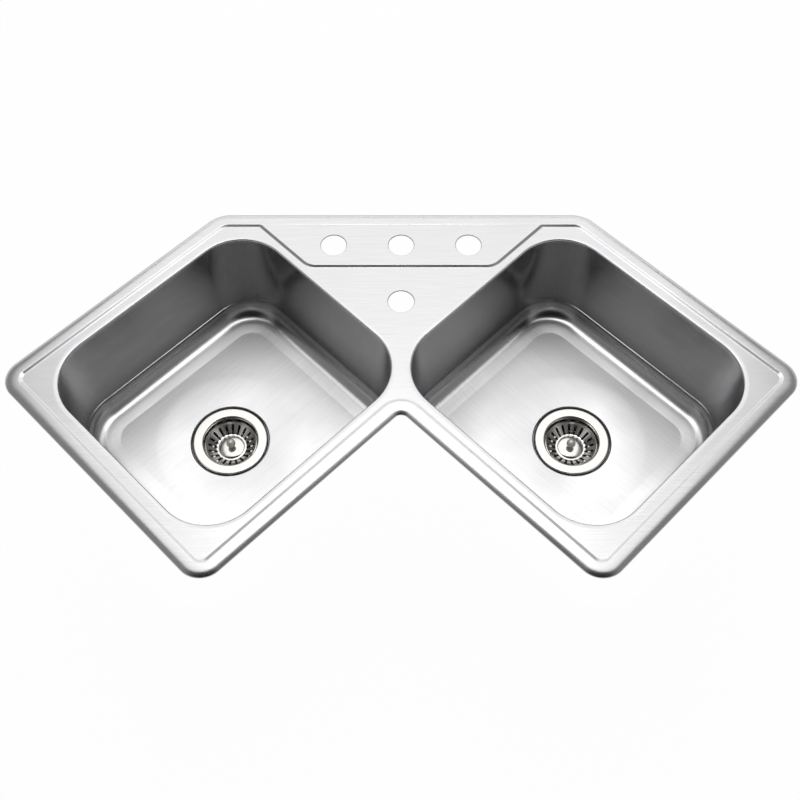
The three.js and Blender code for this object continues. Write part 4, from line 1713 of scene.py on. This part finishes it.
@dataclass
class Studio:
    """Camera, light, floor and the strip of worktop that hides what hangs below the front edges."""

    aim: Point = (-1.6, -322.0, 0.0)
    distance: float = 1634.25
    elevation: float = 60.015
    lens: float = 52.68
    sensor: float = 36.0
    clip_end: float = 50.0
    floor: float = -362.0
    sweep_radius: float = 12000.0
    sweep_height: float = 5000.0
    sweep_bend: float = 2500.0
    bend_steps: int = 8
    strip_top: float = -0.2
    strip_thickness: float = 1.3
    strip_width: float = 37.0
    seat_inset: float = 8.3
    room: str = "#a4a4a4"
    user_side: str = "#202020"
    user_side_edge: tuple[float, float] = (0.78, 0.93)
    paper: str = "#f4f4f4"
    plain_share: float = 0.98
    boxes: tuple[SoftBox, ...] = (
        SoftBox("high_box", (0.0, 1.2, 2.5), (3.0, 3.3), 41.0),
        SoftBox("low_box", (0.0, 3.0, 1.15), (4.4, 0.9), 12.5),
        SoftBox("top_box", (0.0, 0.25, 2.1), (0.9, 0.6), 4.5),
    )

    @property
    def away(self) -> Vector:
        """The direction from the sink to the photograph's viewer."""
        angle = math.radians(self.elevation)
        return Vector((0, -math.cos(angle), math.sin(angle)))

    def camera(self) -> None:
        """The camera at the photograph's angle."""
        data = bpy.data.cameras.new("camera")
        data.lens = self.lens
        data.sensor_width = self.sensor
        data.clip_end = self.clip_end
        camera = bpy.data.objects.new("camera", data)
        camera.location = Vector(self.aim) * MM + self.away * self.distance * MM
        camera.rotation_euler = (-self.away).to_track_quat("-Z", "Y").to_euler()
        bpy.context.scene.collection.objects.link(camera)
        bpy.context.scene.camera = camera

    def light(self) -> None:
        """A grey room, dim above the user, with a large soft box behind, a low one and a top one."""
        bpy.context.scene.view_settings.view_transform = "Standard"
        world = bpy.data.worlds.new("room")
        bpy.context.scene.world = world
        world.use_nodes = True
        tree = world.node_tree
        tree.nodes.clear()
        way = add_node(tree, "ShaderNodeTexCoord").outputs["Generated"]
        near = add_node(
            tree, "ShaderNodeVectorMath", {"operation": "DOT_PRODUCT"}, n0=way, n1=self.away
        ).outputs["Value"]
        tone = blend(tree, step_up(tree, near, *self.user_side_edge), self.room, self.user_side)
        glow = add_node(tree, "ShaderNodeBackground", Color=tone, Strength=1.0)
        add_node(tree, "ShaderNodeOutputWorld", Surface=glow.outputs[0])
        for box in self.boxes:
            box.hang()

    def white(self, name: str) -> bpy.types.Material:
        """A white that the camera and reflections see as lit, with a little of its shadow kept."""
        material = new_material(name)
        tree = material.node_tree
        path = add_node(tree, "ShaderNodeLightPath").outputs
        seen = calculate(tree, "MAXIMUM", path["Is Camera Ray"], path["Is Glossy Ray"])
        seen = calculate(tree, "MAXIMUM", seen, path["Is Transmission Ray"])
        factor = calculate(tree, "MULTIPLY", seen, self.plain_share)
        paper = add_node(tree, "ShaderNodeBsdfDiffuse", Color=linear(self.paper)).outputs[0]
        glow = add_node(tree, "ShaderNodeEmission", Color=linear("#ffffff"), Strength=1.0).outputs[0]
        mixed = add_node(tree, "ShaderNodeMixShader", n0=factor, n1=paper, n2=glow).outputs[0]
        add_node(tree, "ShaderNodeOutputMaterial", Surface=mixed)
        return material

    def set_out(self, piece: Workpiece, name: str) -> None:
        """Makes a piece white."""
        rest()
        piece.obj.data.materials.append(self.white(name))

    def ground(self) -> None:
        """The floor, and a strip of worktop along the ends and the front edges."""
        top, bend = self.floor + self.sweep_height, self.sweep_bend
        sweep = circle("white_sweep", 96, self.sweep_radius, (0.0, 0.0, top))
        turns = [math.pi / 2 * i / self.bend_steps for i in range(self.bend_steps + 1)]
        sweep.press([(bend * (1 - math.cos(a)), self.floor + bend * (1 - math.sin(a))) for a in turns], top)
        self.set_out(sweep, "white floor")

        strip = Workpiece.outline("worktop_strip", PLAN.outline(self.strip_width), self.strip_top, 8)
        strip.press([(self.strip_width + self.seat_inset, self.strip_top)], self.strip_top)
        strip.open_up()
        strip.select(Part.FACE, lambda f: self.is_behind(f.calc_center_median() / MM))
        bpy.ops.mesh.delete(type="FACE")
        strip.thicken(self.strip_thickness)
        self.set_out(strip, "white worktop")

    @staticmethod
    def is_behind(point: Vector) -> bool:
        """Whether a point of the strip is behind the sink's back edges."""
        across = DIAGONAL * (PLAN.back_corner - point.y - abs(point.x))
        return across < 0 or point.y > 0


def main() -> None:
    """Builds the camera, the pieces and the studio in order."""
    logging.basicConfig(level=logging.INFO, format="%(name)s: %(message)s", stream=sys.stdout)
    studio = Studio()
    studio.camera()
    finishes = Finishes()
    Deck(finishes).build()
    Seal(finishes).build()
    for side in Side:
        bowl = Bowl(finishes, side)
        bowl.build()
        Pads(finishes, bowl).build()
        Strainer(finishes, side).build()
        Outlet(finishes, side).build()
    Clamping(finishes).build()
    studio.light()
    studio.ground()


if __name__ == "__main__":
    main()
